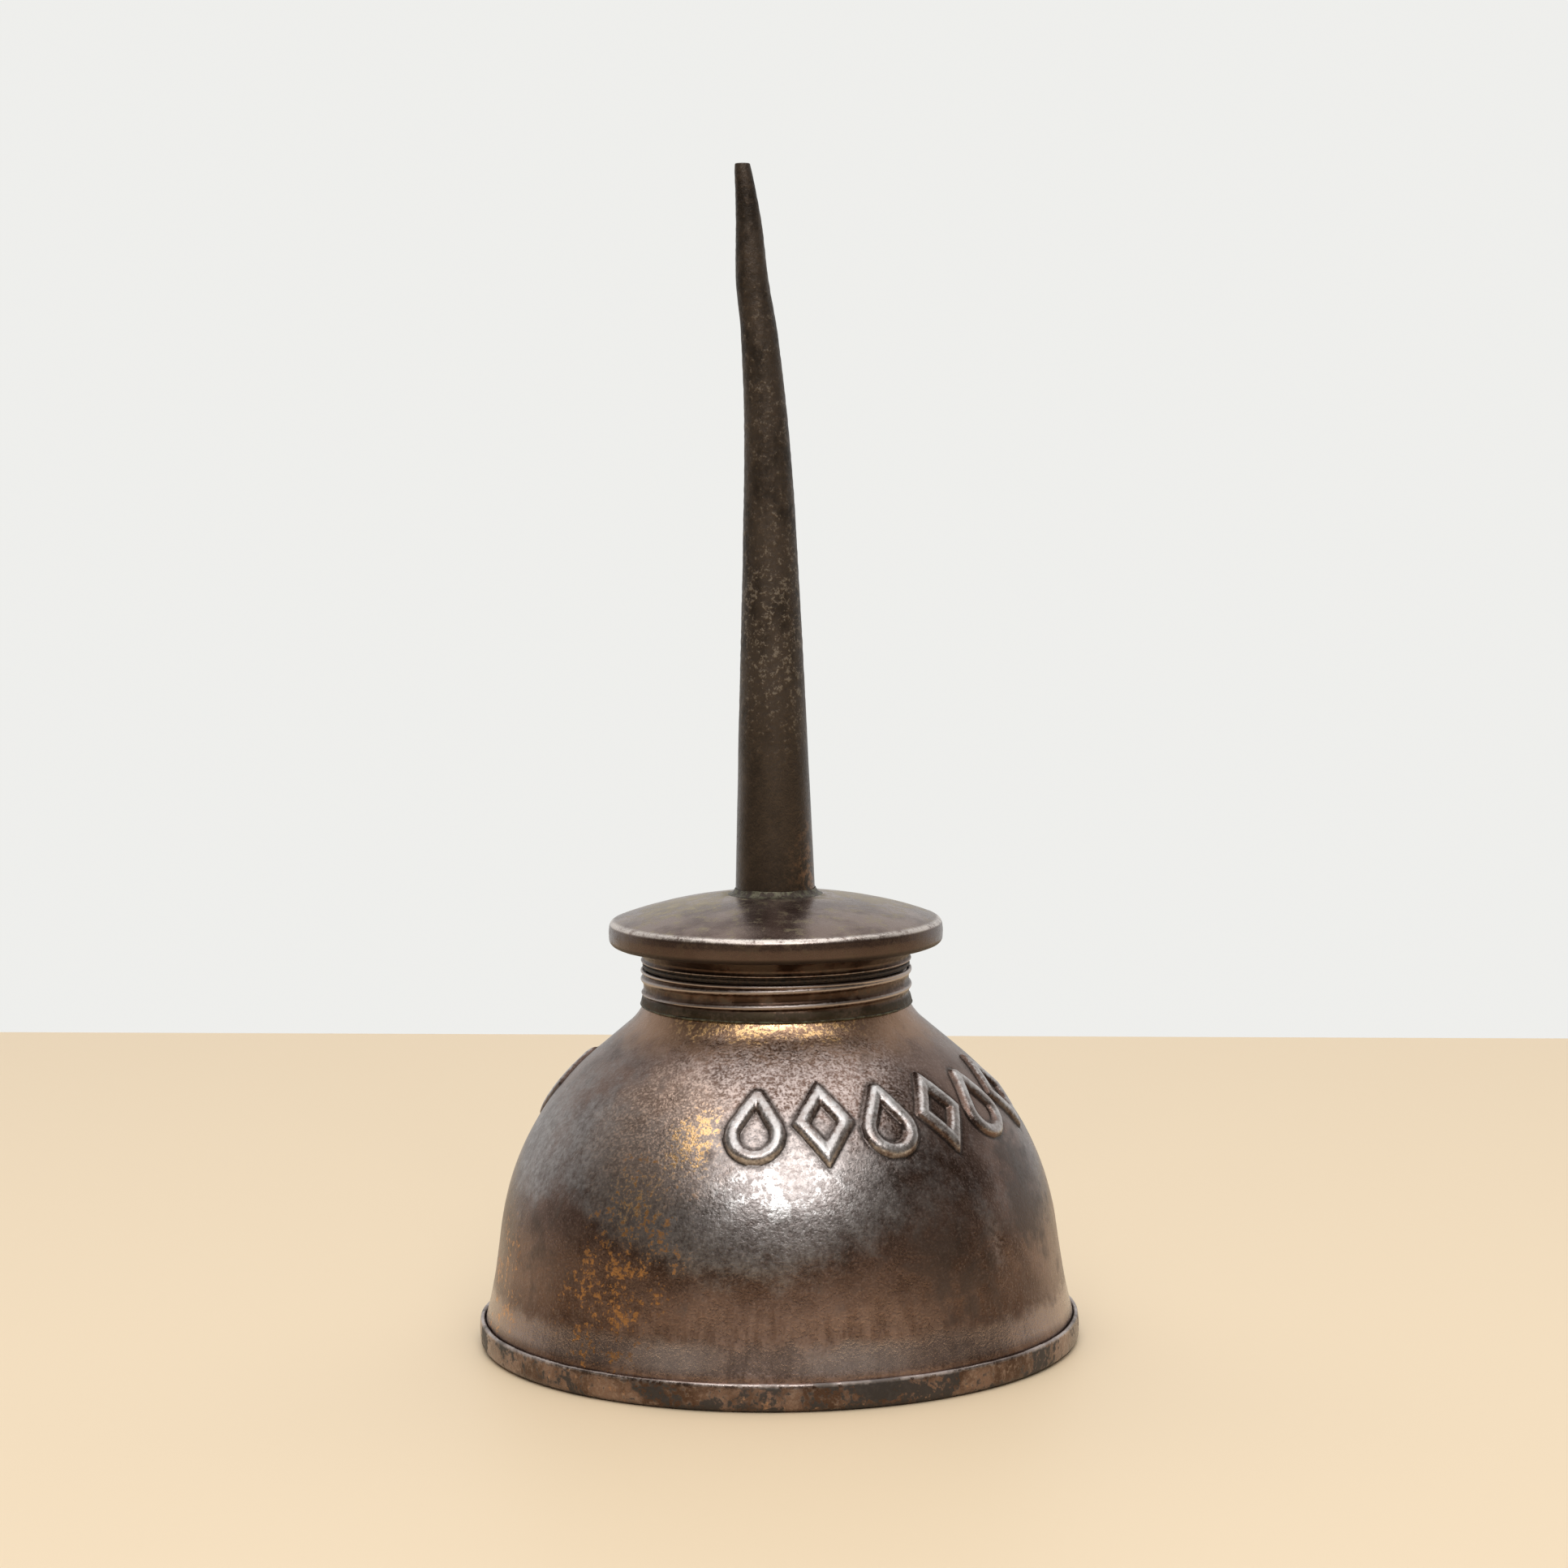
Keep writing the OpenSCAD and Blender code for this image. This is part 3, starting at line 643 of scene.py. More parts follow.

# black tarnish: right shoulder and the left hollow; and painted shade darkening the groove round each motif
right_black = finish.near(on_dome(66, 18, 27.6), 7, 5, 3, (1, 1, 0.7))
lower_smoke = finish.near(on_dome(38, 11, 29.2), 12, 10, 3, (1, 1, 0.9))
soot = finish.step(mottle * 0.6 + cloud * 0.4 + right_black * 0.2 + left_brown * 0.06 + lower_smoke * 0.17,
                   0.54, 0.72)
# painted shade: a dark line in the groove round each motif
sunk = finish.mark("sunk")
blackened = finish.mix(soot * 0.66, coppered, (0.045, 0.033, 0.028))
motif_shaded = finish.mix(sunk * 0.8, blackened, (0.05, 0.04, 0.035))
raised = finish.mark("raised")
face = finish.step(raised + (dust - 0.5) * 0.9, 0.45, 1.0)
face_tone = finish.mix(finish.step(mottle * 0.6 + dust * 0.4, 0.38, 0.62),
                       (0.36, 0.31, 0.29), (0.62, 0.60, 0.59))
faced = finish.mix(face * 0.92, motif_shaded, face_tone)
scraped = finish.mix(finish.mark("crease") * finish.step(dust, 0.4, 0.6) * 0.7, faced, (0.42, 0.34, 0.32))
rough = (0.32 + (speck - 0.5) * 0.35 + (mottle - 0.5) * 0.2 + soot * 0.1
         - painted_highlight * 0.12 - gold * 0.08 - painted_flare_highlight * 0.1)
finish.onto(body_shell, Base_Color=scraped, Metallic=0.97 - soot * 0.25, Roughness=rough,
            Normal=finish.relief(speck * 0.5 + mottle * 1.2 + streak * low * 0.6, 0.055))
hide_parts("body_shell")
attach(body_shell, "can")


# ---- Neck ring and its seam ----
# A ferrule of thin sheet with a right-hand thread rolled into it, lapped over the dome's stub and
# sweated on. Verdigris sits in its grooves, and its crests are bright, partly from rubbing and
# partly from a painted highlight.

thread_pitch = 1.5875
thread_depth = 0.3
thread_z = 37.38
neck_r = 14.0
neck_sheet = 0.35
mouth_z = 39.65


def crest(points):
    """Right-hand thread: 1 on a crest, 0 in a groove."""
    turns = (np.degrees(np.arctan2(points[:, 1], points[:, 0])) - FRONT) / 360
    phase = (points[:, 2] - thread_z) / thread_pitch - turns
    return ((1 + np.cos(math.tau * phase)) / 2) ** 2


def rows_between(low, high, step):
    count = round((high - low) / step)
    return [low + (high - low) * i / count for i in range(count + 1)]


ring_rows = rows_between(36.95, 39.45, 0.07)
neck_outline = (
    [(14.30, 36.0), (14.28, 36.25), (14.16, 36.7)] + [(neck_r, z) for z in ring_rows]
    + arc((neck_r - neck_sheet / 2, mouth_z - neck_sheet / 2), neck_sheet / 2, 0, 180, 6)
    + [(neck_r - neck_sheet, z) for z in ring_rows[::-1]] + [(13.82, 36.7), (14.05, 36.0)])
neck_ring = turned("neck_ring", neck_outline, 240)
points = points_of(neck_ring)
z = points[:, 2]
high = crest(points)
risen = np.maximum(smooth(36.93, 37.15, z) * high, smooth(39.1, 39.45, z))
foot = smooth(36.8, 36.1, z)
points += outward(points) * (thread_depth * risen + foot * 0.05 * lumps(points * (1, 1, 0), 5, 1))[:, None]
points[:, 2] += foot * 0.09 * lumps(points * (1, 1, 0), 3.2, 7)
move_points(neck_ring, points)
keep_mark(neck_ring, "crest", risen)
shade(neck_ring, 50)


def thread_finish(name, seed):
    """Brown rolled sheet, green in the grooves, and bright on the crests from rubbing and a painted
    highlight.
    """
    made = Finish(name)
    cloud = made.grain(3.5, 4, seed, 0.6)
    fine = made.grain(0.4, 4, seed + 4, 0.7)
    risen = made.mark("crest")
    brown = made.mix(made.step(cloud, 0.4, 0.6), (0.055, 0.032, 0.022), (0.16, 0.095, 0.067))
    green = made.step(cloud + (fine - 0.5) * 0.5, 0.42, 0.62) * (1 - made.step(risen, 0.1, 0.5))
    mossy = made.mix(green * 0.5, brown, (0.035, 0.036, 0.022))
    lapped = made.step(made.height + (cloud - 0.5) * 0.8, 36.95, 36.7)
    coppery = made.mix(lapped * (1 - made.step(fine + cloud * 0.5, 0.75, 0.9)), mossy, (0.06, 0.045, 0.028))
    # painted highlight with rubbed wear: the crests are lightened
    worn_and_highlit = made.step(risen + (fine - 0.5) * 0.6, 0.5, 0.95)
    bright = made.mix(worn_and_highlit * 0.75, coppery, (0.50, 0.43, 0.395))
    sockets = dict(Base_Color=bright, Metallic=1.0 - green * 0.4,
                   Roughness=0.33 + green * 0.2 + lapped * 0.15 + (fine - 0.5) * 0.35,
                   Normal=made.relief(fine + cloud, 0.03))
    return made, sockets


finish, sockets = thread_finish("thread_patina", 13)
finish.onto(neck_ring, **sockets)
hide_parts("neck_ring")
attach(neck_ring, "can")

seam_outline = [(14.17, 35.72), (14.30, 35.78), (14.38, 35.9), (14.32, 36.0), (14.02, 36.0)]
neck_solder = turned("neck_solder", seam_outline, 240)
points = points_of(neck_solder)
points[:, 2] += 0.06 * lumps(points * (1, 1, 0), 2.0, 12)
move_points(neck_solder, points)
shade(neck_solder, 70)
finish = Finish("green_seam")
crust = finish.grain(0.8, 4, 19, 0.7)
finish.onto(neck_solder, Base_Color=finish.mix(finish.step(crust, 0.42, 0.62), (0.045, 0.034, 0.02),
                                               (0.12, 0.12, 0.08)),
            Metallic=0.5, Roughness=0.55, Normal=finish.relief(crust, 0.1))
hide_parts("neck_solder")
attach(neck_solder, "can")


# ---- Sprung bottom ----
# A thin corrugated disc laid on the pan's ledge, with a flat bow spring riveted to its middle
# through a washer. The middle goes up under the thumb; the edge stays in the pan.

bottom_z = 0.9
bottom_sheet = 0.3
pad_r = 5
ring_depth = 0.14
ring_count = 4
bottom_sag = 0.42
step_in_r = 20.8
bottom_r = 25.1
flange_z = ledge_z + pan_sheet + 0.01
rivet_r = 1.2


def bottom_under(r):
    """Height of the disc's underside: a flat pad, four pressed rings, and a step up to its flange."""
    t = max(0, (r - pad_r) / (step_in_r - pad_r))
    rings = bottom_z + bottom_sag * t ** 1.5 + ring_depth * (1 - math.cos(math.tau * ring_count * t)) / 2
    rise = float(smooth(step_in_r, step_in_r + 1, r))
    return rings * (1 - rise) + flange_z * rise if r > step_in_r else rings


disc_radii = rows_between(rivet_r + 0.05, bottom_r, 0.33)
under = [(r, bottom_under(r)) for r in disc_radii]
bottom_diaphragm = turned("bottom_diaphragm", under + [(r, z + bottom_sheet) for r, z in under[::-1]], 180)
points = points_of(bottom_diaphragm)
disc_point_r = np.hypot(points[:, 0], points[:, 1])
loose = smooth(20, 17, disc_point_r) * smooth(3, 6, disc_point_r)
points[:, 2] += 0.03 * loose * lumps(points * (1, 1, 0), 6, 2)
move_points(bottom_diaphragm, points)
shade(bottom_diaphragm, 50)

finish = Finish("bottom_sheet")
cloud = finish.grain(5, 4, 2, 0.6)
fine = finish.grain(0.5, 4, 6, 0.7)
plate = finish.mix(finish.step(cloud, 0.4, 0.6), (0.20, 0.115, 0.08), (0.46, 0.31, 0.25))
stain = finish.step(finish.grain(3, 5, 9, 0.65), 0.55, 0.66)
stained = finish.mix(stain * 0.8, plate, (0.06, 0.05, 0.045))
shine = finish.mix(finish.step(fine, 0.56, 0.7) * 0.7, stained, (0.66, 0.50, 0.40))
finish.onto(bottom_diaphragm, Base_Color=shine, Metallic=1.0 - stain * 0.4,
            Roughness=0.32 + stain * 0.25 + (fine - 0.5) * 0.35, Normal=finish.relief(fine + cloud, 0.04))
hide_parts("bottom_diaphragm")


def blend_by_radius(piece):
    """Sets each point to its distance from the axis, bakes the piece's placement, and puts the points back.
    """
    rest = points_of(piece)
    move_points(piece, np.outer(np.hypot(rest[:, 0], rest[:, 1]), (1, 0, 0)))
    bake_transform(piece)
    move_points(piece, rest)


blend_by_radius(bottom_diaphragm)

bow_length = 44
bow_w = 9
bow_sheet = 0.5
washer_sheet = 0.4
bow_z = bottom_z + bottom_sheet + washer_sheet
bow_rise = flange_z + bottom_sheet + 0.05 - bow_z
bpy.ops.object.select_all(action="DESELECT")
bpy.ops.mesh.primitive_cube_add(size=1, location=(0, 0, (bow_z + bow_sheet / 2) * mm),
                                scale=(bow_length * mm, bow_w * mm, bow_sheet * mm))
bow_spring = bpy.context.object
bow_spring.name = bow_spring.data.name = "bow_spring"
bpy.ops.object.transform_apply(location=True, scale=True)
bpy.ops.object.mode_set(mode="EDIT")
bpy.ops.mesh.select_mode(type="EDGE")
bpy.ops.mesh.select_all(action="DESELECT")
bpy.ops.object.mode_set(mode="OBJECT")
for edge in bow_spring.data.edges:
    a, b = (bow_spring.data.vertices[i].co for i in edge.vertices)
    edge.select = abs(a.z - b.z) > 0.1 * mm
bpy.ops.object.mode_set(mode="EDIT")
bpy.ops.mesh.bevel(offset=3 * mm, segments=6)
for i in range(1, 24):
    bpy.ops.mesh.select_all(action="SELECT")
    bpy.ops.mesh.bisect(plane_co=((i / 12 - 1) * bow_length / 2 * mm, 0, 0), plane_no=(1, 0, 0))
bpy.ops.object.mode_set(mode="OBJECT")
points = points_of(bow_spring)
points[:, 2] += bow_rise * (points[:, 0] / (bow_length / 2)) ** 2
move_points(bow_spring, points)
rounding = bow_spring.modifiers.new("rounding", "BEVEL")
rounding.width = 0.12 * mm
rounding.segments = 2
rounding.angle_limit = math.radians(50)
bpy.ops.object.modifier_apply(modifier=rounding.name)
shade(bow_spring, 35)

finish = Finish("oiled_spring_steel")
film = finish.grain(2.5, 4, 8, 0.6, stretch=(0.3, 1, 1))
fine = finish.grain(0.35, 3, 3, 0.6)
finish.onto(bow_spring, Base_Color=finish.mix(finish.step(film, 0.42, 0.62), (0.10, 0.09, 0.08),
                                              (0.30, 0.31, 0.33)),
            Metallic=1.0, Roughness=0.28 + (fine - 0.5) * 0.3, Normal=finish.relief(fine, 0.01))
spring_steel = finish.material
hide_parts("bow_spring")
blend_by_radius(bow_spring)

washer_r = 4
washer_low = bottom_z + bottom_sheet
washer_outline = (
    [(rivet_r + 0.05, washer_low + 0.01), (washer_r - 0.1, washer_low + 0.01)]
    + arc((washer_r - 0.1, washer_low + washer_sheet - 0.12), 0.1, 0, 90, 3)
    + [(rivet_r + 0.05, washer_low + washer_sheet - 0.01)])
rivet_washer = turned("rivet_washer", washer_outline, 96)
shade(rivet_washer)
rivet_washer.data.materials.append(spring_steel)
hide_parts("rivet_washer")
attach(rivet_washer, "press")

rivet_head_r, rivet_head_h = 2.6, 0.6
rivet_tail_r, rivet_tail_h = 2.1, 0.55
rivet_top = bow_z + bow_sheet + 0.02
rivet_outline = (
    [(rivet_head_r * math.sin(t), bottom_z - rivet_head_h * math.cos(t))
     for t in np.linspace(0, math.pi / 2, 10)]
    + [(rivet_r, bottom_z), (rivet_r, rivet_top)]
    + [(rivet_tail_r * math.cos(t), rivet_top + rivet_tail_h * math.sin(t))
       for t in np.linspace(0, math.pi / 2, 8)])
centre_rivet = turned("centre_rivet", rivet_outline, 96, closed=False)
points = points_of(centre_rivet)
points[:, 2] += 0.04 * lumps(points, 1.1, 5)
move_points(centre_rivet, points)
shade(centre_rivet)
finish = Finish("rivet_steel")
dents = finish.grain(0.9, 3, 5, 0.6)
finish.onto(centre_rivet, Base_Color=finish.mix(finish.step(dents, 0.4, 0.62), (0.16, 0.13, 0.11),
                                                (0.52, 0.46, 0.41)),
            Metallic=1.0, Roughness=0.34 + (dents - 0.5) * 0.4, Normal=finish.relief(dents, 0.06))
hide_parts("centre_rivet")
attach(centre_rivet, "press")


# ---- Gasket ----
# A washer cut from oiled leather, squeezed between the collar's shoulder and the neck's mouth.
# Only its dark edge shows.

band_r = 14.1
band_z = 40.43
male_r = neck_r - neck_sheet - 0.1
gasket_low = mouth_z + 0.12
gasket_top = band_z - 0.1
gasket_outline = (
    [(male_r + 0.08, gasket_low), (band_r - 0.15, gasket_low)]
    + arc((band_r - 0.22, (gasket_low + gasket_top) / 2), 0.22, -75, 75, 6)
    + [(band_r - 0.15, gasket_top), (male_r + 0.08, gasket_top)])
cap_gasket = turned("cap_gasket", gasket_outline, 200)
points = points_of(cap_gasket)
edge = smooth(male_r + 0.2, band_r - 0.1, np.hypot(points[:, 0], points[:, 1]))
points += outward(points) * (edge * 0.05 * lumps(points, 1.2, 3))[:, None]
move_points(cap_gasket, points)
shade(cap_gasket, 60)
finish = Finish("oiled_leather")
pores = finish.grain(0.35, 4, 2, 0.7)
finish.onto(cap_gasket, Base_Color=finish.mix(finish.step(pores, 0.4, 0.65), (0.012, 0.008, 0.006),
                                              (0.06, 0.035, 0.022)),
            Metallic=0.0, Roughness=0.55 + (pores - 0.5) * 0.4, Normal=finish.relief(pores, 0.1))
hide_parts("cap_gasket")
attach(cap_gasket, "washer")


# ---- Cap collar ----
# Thin sheet rolled to a thread that runs inside the neck, stepped out to a shoulder and a plain
# band, and flanged at the top, where the cap's disc is closed over it.

cone_low_z = 41.2
cone_out_r = 15.7
flange_out_r = 17
flange_under_z = 42.57
skirt_rows = rows_between(37.2, 39.7, 0.08)
collar_outline = (
    [(male_r, z) for z in skirt_rows]
    + [(male_r, band_z - 0.03), (band_r - 0.05, band_z - 0.03)]
    + arc((band_r, band_z + 0.12), 0.15, -80, 40, 5)
    + [(band_r, band_z + 0.4), (band_r, cone_low_z - 0.25), (band_r + 0.04, cone_low_z - 0.1),
       (band_r + 0.15, cone_low_z)]
    + finer([(band_r + 0.2, cone_low_z + 0.05), (cone_out_r - 0.1, flange_under_z - 0.13)], 0.4)
    + [(cone_out_r + 0.15, flange_under_z - 0.02), (flange_out_r, flange_under_z),
       (flange_out_r, flange_under_z + neck_sheet), (cone_out_r - 0.2, flange_under_z + neck_sheet),
       (band_r - 0.1, cone_low_z + 0.3), (band_r - neck_sheet, cone_low_z),
       (band_r - neck_sheet, band_z + 0.4), (male_r - neck_sheet, band_z + 0.27)]
    + [(male_r - neck_sheet, z) for z in skirt_rows[::-1]])
cap_collar = turned("cap_collar", collar_outline, 240)
points = points_of(cap_collar)
z = points[:, 2]
fade = smooth(37.2, 37.5, z) * smooth(39.7, 39.45, z)
band = smooth(40.4, 40.6, z) * smooth(42.4, 41.8, z)
points += outward(points) * (thread_depth * fade * crest(points)
                             + band * 0.03 * lumps(points, 4, 15))[:, None]
move_points(cap_collar, points)
# the band's lip is marked as a crest too, so the finish paints it bright like the crests: wear and painted
# highlight
lip = np.exp(-((z - band_z - 0.1) / 0.16) ** 2)
keep_mark(cap_collar, "crest", np.maximum(fade * crest(points), 0.75 * lip))
shade(cap_collar, 50)
finish, sockets = thread_finish("collar_patina", 37)
finish.onto(cap_collar, **sockets)
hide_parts("cap_collar")
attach(cap_collar, "spout_cap")


# ---- Cap disc ----
# The cap's crowned top, pressed from sheet steel and rolled over at its rim. Oil and handling
# have left it a glossy brown, olive and gold towards the sides. The bright line along the rim
# is partly wear and partly a painted highlight, and painted shade darkens the rim's underside.

cap_r = 17.6
cap_sheet = 0.45
hole_r = 4.3
rim_bend = 0.8
rim_middle = (cap_r - 0.05 - rim_bend, 44.05)
rim_start = 66           # degrees up the rim's upper bend, where the top runs into it
lip_bend = 0.73
lip_middle = (cap_r - 0.02 - lip_bend, 42.9)
lip_end_r = 16
lip_sheet = 0.35


def crown(r):
    """Height of the cap's crowned top."""
    return 47.6 - 0.0086 * r * r


edge_r = rim_middle[0] + rim_bend * math.cos(math.radians(rim_start))
edge_drop = crown(edge_r) - (rim_middle[1] + rim_bend * math.sin(math.radians(rim_start)))


def cap_top(r):
    """The crown, eased down to meet the rim's upper bend."""
    return crown(r) - edge_drop * ((r - hole_r) / (edge_r - hole_r)) ** 4


top_radii = rows_between(hole_r, edge_r - 0.1, 0.3)
lip_low = lip_middle[1] - lip_bend
cap_outline = (
    [(r, cap_top(r)) for r in top_radii] + arc(rim_middle, rim_bend, rim_start, 0, 12)
    + [(cap_r - 0.01, 43.8), (cap_r, 43.5), (cap_r - 0.01, 43.2)]
    + arc(lip_middle, lip_bend, 0, -90, 12)
    + arc((lip_end_r + 0.17, lip_low + 0.13), 0.17, -90, -250, 6)
    + arc((lip_middle[0] - 0.1, lip_middle[1]), lip_bend - lip_sheet, -90, 0, 6)
    + arc(rim_middle, rim_bend - cap_sheet, 0, rim_start, 6)
    + [(r, cap_top(r) - cap_sheet) for r in top_radii[::-3]] + [(hole_r, cap_top(hole_r) - cap_sheet)])
cap_disc = turned("cap_disc", cap_outline, 360)
points = points_of(cap_disc)
from_axis = np.hypot(points[:, 0], points[:, 1])
top_side = smooth(8, 14, from_axis)
points[:, 2] += 0.05 * lumps(points * (1, 1, 0), 8, 21) * top_side
points[:, 2] += 0.012 * lumps(points * (1, 1, 0), 1.6, 22) * smooth(5, 7, from_axis)
points += outward(points) * (smooth(15, 16.8, from_axis) * 0.05 * lumps(points * (1, 1, 0), 7, 25))[:, None]
move_points(cap_disc, points)
shade(cap_disc, 50)

finish = Finish("cap_patina")
cloud = finish.grain(6, 4, 43, 0.6)
mottle = finish.grain(1.6, 5, 47, 0.65)
fine = finish.grain(0.35, 3, 53, 0.7)
brown = finish.mix(finish.step(cloud, 0.4, 0.62), (0.13, 0.082, 0.068), (0.25, 0.18, 0.152))
sides = finish.near((-9, -2, 46), 8.5, 6, 2.5) + finish.near((10, 3, 46), 8.5, 6, 2.5)
olive = finish.step(mottle * 0.7 + fine * 0.3 + sides * 0.13, 0.5, 0.64)
oily = finish.mix(olive * 0.7, brown, (0.33, 0.27, 0.17))
gold = finish.step(fine * 0.5 + mottle * 0.5 + sides * 0.05, 0.56, 0.66)
gilt = finish.mix(gold * finish.step(sides, 0, 0.6) * 0.5, oily, (0.52, 0.42, 0.25))
below = finish.step(finish.height, 44.5, 44.2)
under_lip = finish.step(finish.height, 42.9, 42.5)
dark_side = finish.mix(below * 0.85, gilt, (0.085, 0.055, 0.043))
verdigris = finish.near((0, 0, 47.4), 6.6, 2.0, 1.2) * finish.step(mottle + fine * 0.3, 0.55, 0.78)
green = finish.mix(verdigris * 0.5, dark_side, (0.15, 0.15, 0.09))
# painted highlight with rubbed wear: a bright line along the rim's top
rim_top = finish.step(finish.height, 44.3, 44.5) * finish.step(finish.height, 44.9, 44.7)
rubbed = rim_top * finish.step(mottle * 0.6 + fine * 0.4, 0.36, 0.56) * 0.9
bright = finish.mix(rubbed, green, (0.74, 0.67, 0.62))
# painted shade: the underside below the lip, darkened nearly to black
underside_shaded = finish.mix(under_lip * 0.7, bright, (0.035, 0.026, 0.02))
finish.onto(cap_disc, Base_Color=underside_shaded, Metallic=0.85 - verdigris * 0.4,
            Roughness=0.27 + olive * 0.12 + verdigris * 0.3 + under_lip * 0.25 + (fine - 0.5) * 0.25,
            Normal=finish.relief(mottle + fine * 0.3, 0.03))
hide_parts("cap_disc")
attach(cap_disc, "spout_cap")


# ---- Spout tube ----
# A long tapered tube of sheet steel, flanged under the cap. Its tip has been knocked over to the
# left and has a small kink. The upper part is pitted all over; the foot is smoother and darker.

# Height, sideways lean of the middle, and outer radius
stations = [(47.3, 0, 4.2), (66, -0.1, 3.54), (84, -0.2, 2.82), (97, -0.5, 2.28), (106, -1.1, 1.92),
            (111.5, -1.78, 1.68), (117.5, -2.08, 1.34), (122, -2.5, 0.93), (123.3, -2.66, 0.78)]
tip_bore_r = 0.45
spout_sheet = 0.45
flange_r = 5.6
flange_top_z = crown(flange_r) - cap_sheet - 0.05
flange_low_z = flange_top_z - 0.4


def through(heights, column):
    """A smooth curve through one column of the stations, level below the first."""
    z = np.array([s[0] for s in stations])
    value = np.array([s[column] for s in stations])
    before = np.maximum(np.arange(len(z)) - 1, 0)
    after = np.minimum(np.arange(len(z)) + 1, len(z) - 1)
    slope = (value[after] - value[before]) / (z[after] - z[before])
    heights = np.clip(heights, z[0], z[-1])
    i = np.clip(np.searchsorted(z, heights, side="right") - 1, 0, len(z) - 2)
    rise = z[i + 1] - z[i]
    t = (heights - z[i]) / rise
    return ((2 * t ** 3 - 3 * t ** 2 + 1) * value[i] + (t ** 3 - 2 * t ** 2 + t) * rise * slope[i]
            + (3 * t ** 2 - 2 * t ** 3) * value[i + 1] + (t ** 3 - t ** 2) * rise * slope[i + 1])


heights = rows_between(stations[0][0], stations[-1][0], 0.3)
radii = through(np.array(heights), 2)
tip_edge = (radii[-1] - tip_bore_r) / 2
spout_outline = (
    [(bore, z) for bore, z in zip(np.maximum(radii[::-6] - spout_sheet, tip_bore_r), heights[::-6])][::-1]
    + arc((tip_bore_r + tip_edge, heights[-1]), tip_edge, 180, 0, 8)[1:-1]
    + [(r, z) for r, z in zip(radii[::-1], heights[::-1])]
    + [(4.2, flange_top_z), (flange_r, flange_top_z), (flange_r, flange_low_z), (3.75, flange_low_z)])
spout_tube = turned("spout_tube", spout_outline, 112)
points = points_of(spout_tube)
z = points[:, 2].copy()
from_axis = np.hypot(points[:, 0], points[:, 1])
outside = smooth(-0.2, -0.1, from_axis - through(z, 2)) * smooth(47.4, 48.4, z)
pitted = smooth(62, 72, z)
rough_skin = 0.022 * lumps(points, 0.75, 31) + 0.018 * lumps(points, 0.4, 33)
waves = 0.05 * lumps(points, 6, 35)
points += outward(points) * (outside * (waves * smooth(52, 60, z) + rough_skin * (0.25 + pitted)))[:, None]
points[:, 0] += through(z, 1)
move_points(spout_tube, points)
shade(spout_tube, 60)

finish = Finish("spout_patina")
z = finish.height
cloud = finish.grain(5, 4, 61, 0.6, stretch=(1, 1, 0.55))
pit = finish.grain(0.8, 4, 67, 0.72)
fine = finish.grain(0.32, 3, 71, 0.7)
base = finish.mix(finish.step(cloud, 0.4, 0.6), (0.030, 0.023, 0.018), (0.075, 0.058, 0.046))
rusty = finish.mix(finish.step(pit, 0.45, 0.62) * 0.5, base, (0.10, 0.073, 0.055))
pale_zone = (finish.near((2.2, -2.2, 75), 14, 11, 3, (1, 1, 0.75))
             + finish.near((1.0, -2, 100), 16, 12, 3) * 0.5)
pale = finish.step(pit * 0.55 + fine * 0.45 + pale_zone * 0.05, 0.575, 0.64)
pale = pale * (0.25 + pale_zone * 0.6) * finish.step(z, 56, 66)
flecked = finish.mix(pale, rusty, (0.24, 0.205, 0.165))
foot = finish.step(z, 66, 58)
footed = finish.mix(foot * 0.5, flecked, (0.10, 0.082, 0.072))
warm = finish.near((3.9, -1.4, 49.5), 4.5, 4, 1.5, (1, 1, 0.5)) * finish.step(pit + fine * 0.4, 0.66, 0.84)
coppery = finish.mix(warm * 0.7, footed, (0.30, 0.18, 0.11))
finish.onto(spout_tube, Base_Color=coppery, Metallic=1.0 - finish.step(z, 56, 70) * 0.2,
            Roughness=0.34 + finish.step(z, 56, 70) * 0.14 + (fine - 0.5) * 0.4,
            Normal=finish.relief(pit * (0.25 + finish.step(z, 56, 70)) + fine * 0.3, 0.12))
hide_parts("spout_tube")
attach(spout_tube, "spout_cap")


# ---- Solder round the spout's foot ----
# A small fillet of solder that has turned brown-green; it is a little lumpy.

fillet_outline = [(4.24, crown(4.24) + 0.01), (5.0, crown(5.0) + 0.01), (4.75, crown(4.75) + 0.07),
                  (4.5, crown(4.5) + 0.2), (4.34, crown(4.34) + 0.42), (4.24, crown(4.24) + 0.6)]
spout_solder = turned("spout_solder", fillet_outline, 120)
points = points_of(spout_solder)
lift = smooth(47.33, 47.6, points[:, 2])
points[:, 2] += lift * 0.12 * lumps(points * (1, 1, 0), 1.6, 6)
move_points(spout_solder, points)
shade(spout_solder, 70)
finish = Finish("green_fillet")
crust = finish.grain(0.7, 4, 73, 0.7)
finish.onto(spout_solder, Base_Color=finish.mix(finish.step(crust, 0.42, 0.62), (0.05, 0.035, 0.026),
                                                (0.14, 0.13, 0.085)),
            Metallic=0.6, Roughness=0.45, Normal=finish.relief(crust, 0.1))
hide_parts("spout_solder")
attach(spout_solder, "spout_cap")


# ---- Floor and light ----
# A plain pale table top and a soft pale room: white behind and above the can, dimmer on the
# camera's side, where one wide soft window lights the front.

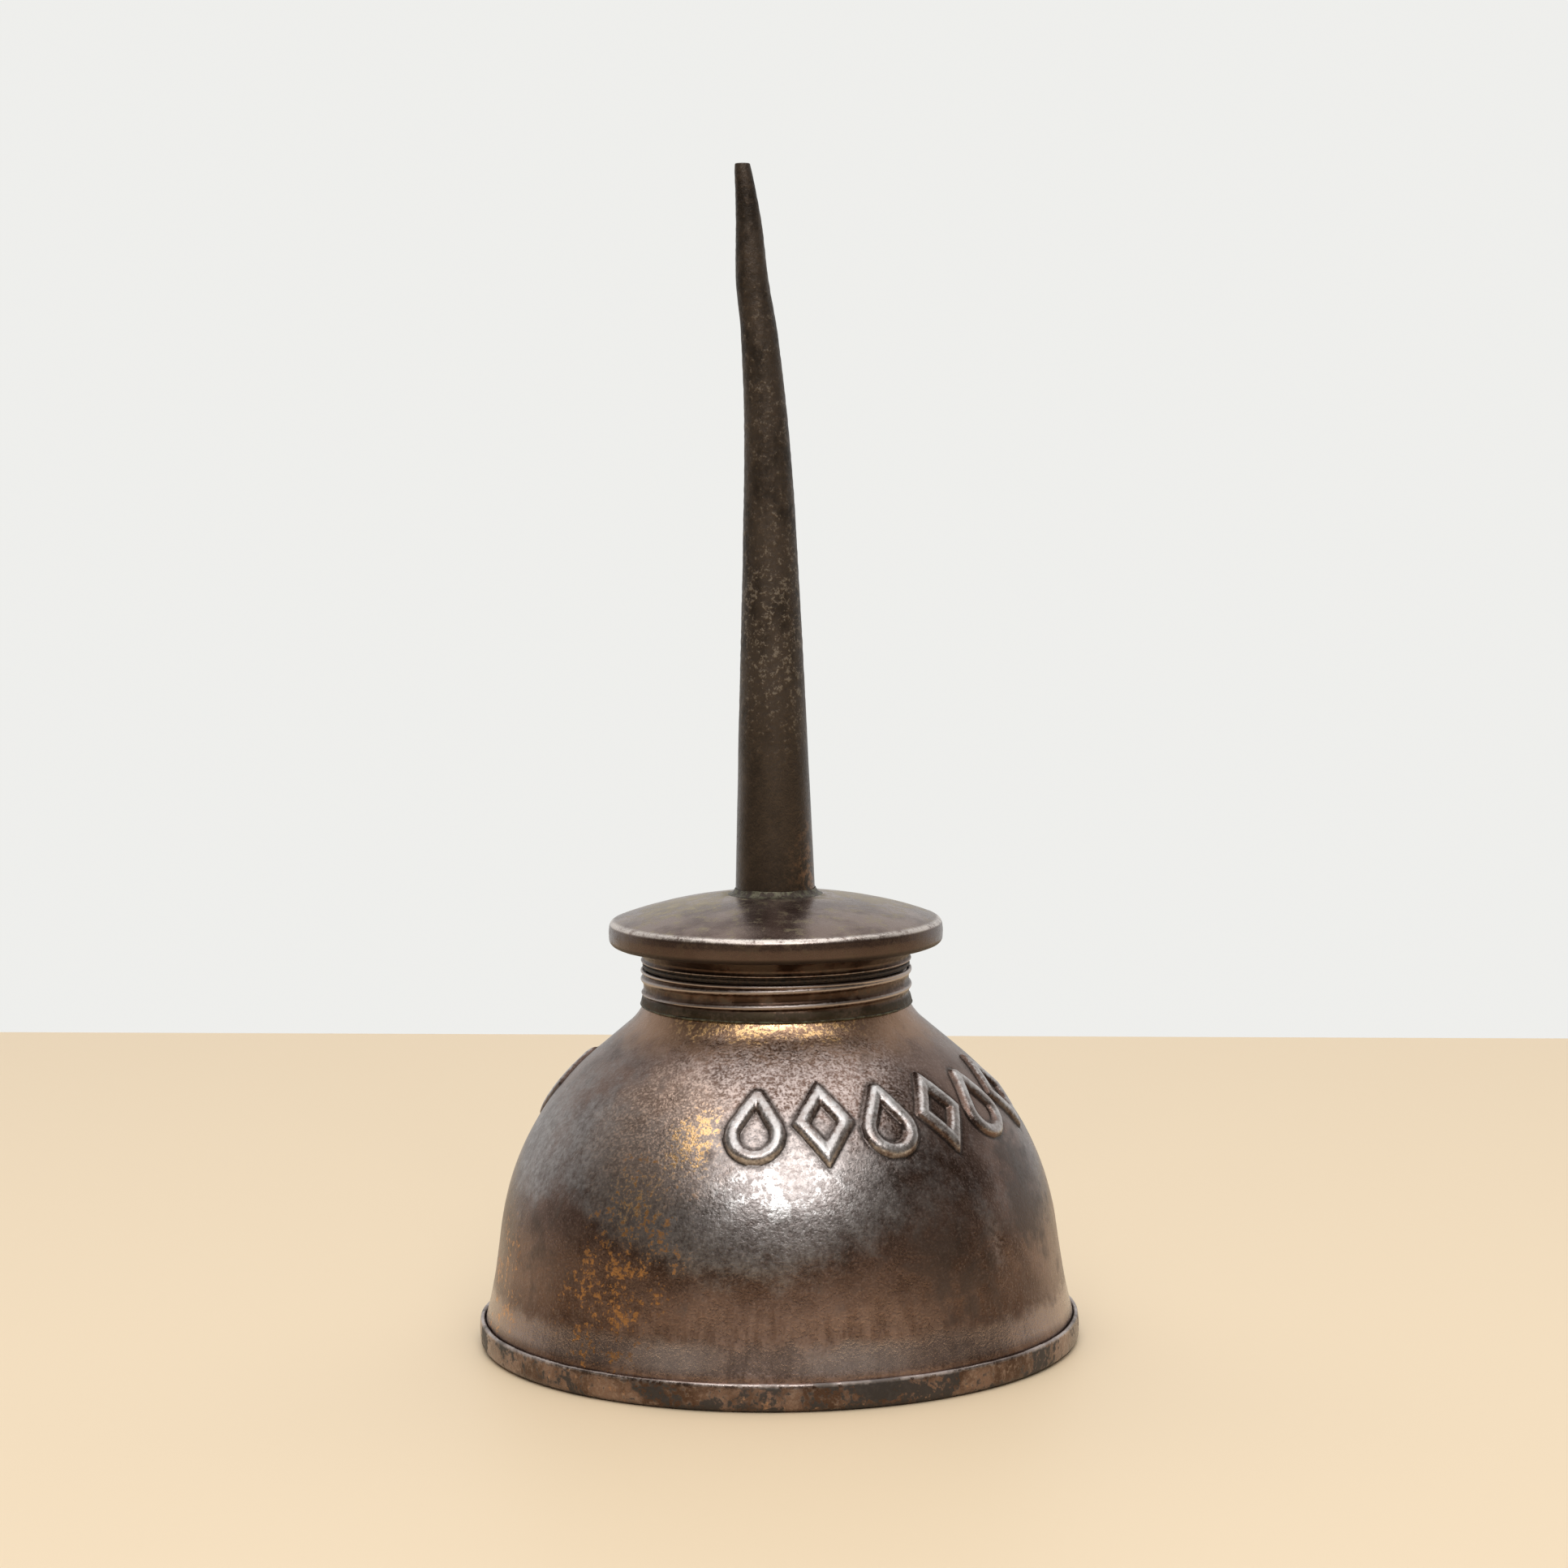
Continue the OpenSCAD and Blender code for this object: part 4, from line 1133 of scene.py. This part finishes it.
floor_back = 195 * mm
floor_size = 1.6
bpy.ops.object.select_all(action="DESELECT")
bpy.ops.mesh.primitive_plane_add(size=floor_size, location=(0, floor_back - floor_size / 2, 0),
                                 rotation=(0, 0, math.radians(-5)))
floor = bpy.context.object
bpy.ops.object.transform_apply(location=True, rotation=True)
floor.name = "floor"
finish = Finish("pale_table")
finish.onto(floor, Base_Color=(0.92, 0.74, 0.51), Roughness=0.55)
floor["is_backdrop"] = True


def soft_light(name, angle, elevation, distance, width, height, power):
    """A rectangular soft light that faces the can, at an angle from the front towards the right."""
    a = math.radians(FRONT + angle)
    e = math.radians(elevation)
    direction = Vector((math.cos(a) * math.cos(e), math.sin(a) * math.cos(e), math.sin(e)))
    bpy.ops.object.light_add(type="AREA")
    lamp = bpy.context.object
    lamp.name = name
    lamp.data.shape = "RECTANGLE"
    lamp.data.size = width
    lamp.data.size_y = height
    lamp.data.energy = power
    place = Vector((0, 0, 0.03)) + direction * distance
    lamp.matrix_world = Matrix.Translation(place) @ direction.to_track_quat("Z", "Y").to_matrix().to_4x4()


soft_light("window", 2, 41, 1.0, 0.7, 0.26, 3.0)
soft_light("ceiling", 0, 80, 1.3, 1.6, 1.6, 12)

world = bpy.data.worlds.new("pale_room")
bpy.context.scene.world = world
world.use_nodes = True
tree = world.node_tree
tree.nodes.clear()


def world_node(kind, settings, inputs, out=0):
    """A node of the world's tree, as Finish.node makes them for a material."""
    made = tree.nodes.new(kind)
    for name, value in settings.items():
        setattr(made, name, value)
    for key, value in inputs.items():
        if isinstance(value, bpy.types.NodeSocket):
            tree.links.new(value, made.inputs[key])
        else:
            made.inputs[key].default_value = value
    return made.outputs[out]


direction = world_node("ShaderNodeTexCoord", {}, {}, "Generated")
behind = world_node("ShaderNodeSeparateXYZ", {}, {0: direction}, "Y")
wall_share = world_node("ShaderNodeMapRange", {"interpolation_type": "SMOOTHSTEP"},
                        {"Value": behind, "From Min": 0.0, "From Max": 0.6})
room = world_node("ShaderNodeMix", {"data_type": "RGBA"},
                  {0: wall_share, 6: (0.165, 0.15, 0.135, 1), 7: (0.80, 0.80, 0.79, 1)}, 2)
seen = world_node("ShaderNodeLightPath", {}, {}, "Is Camera Ray")
colour = world_node("ShaderNodeMix", {"data_type": "RGBA"},
                    {0: seen, 6: room, 7: (0.86, 0.86, 0.84, 1)}, 2)
lit = world_node("ShaderNodeBackground", {}, {"Color": colour, "Strength": 1.0})
output = tree.nodes.new("ShaderNodeOutputWorld")
tree.links.new(lit, output.inputs["Surface"])
bpy.context.scene.view_settings.view_transform = "Standard"

low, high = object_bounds()
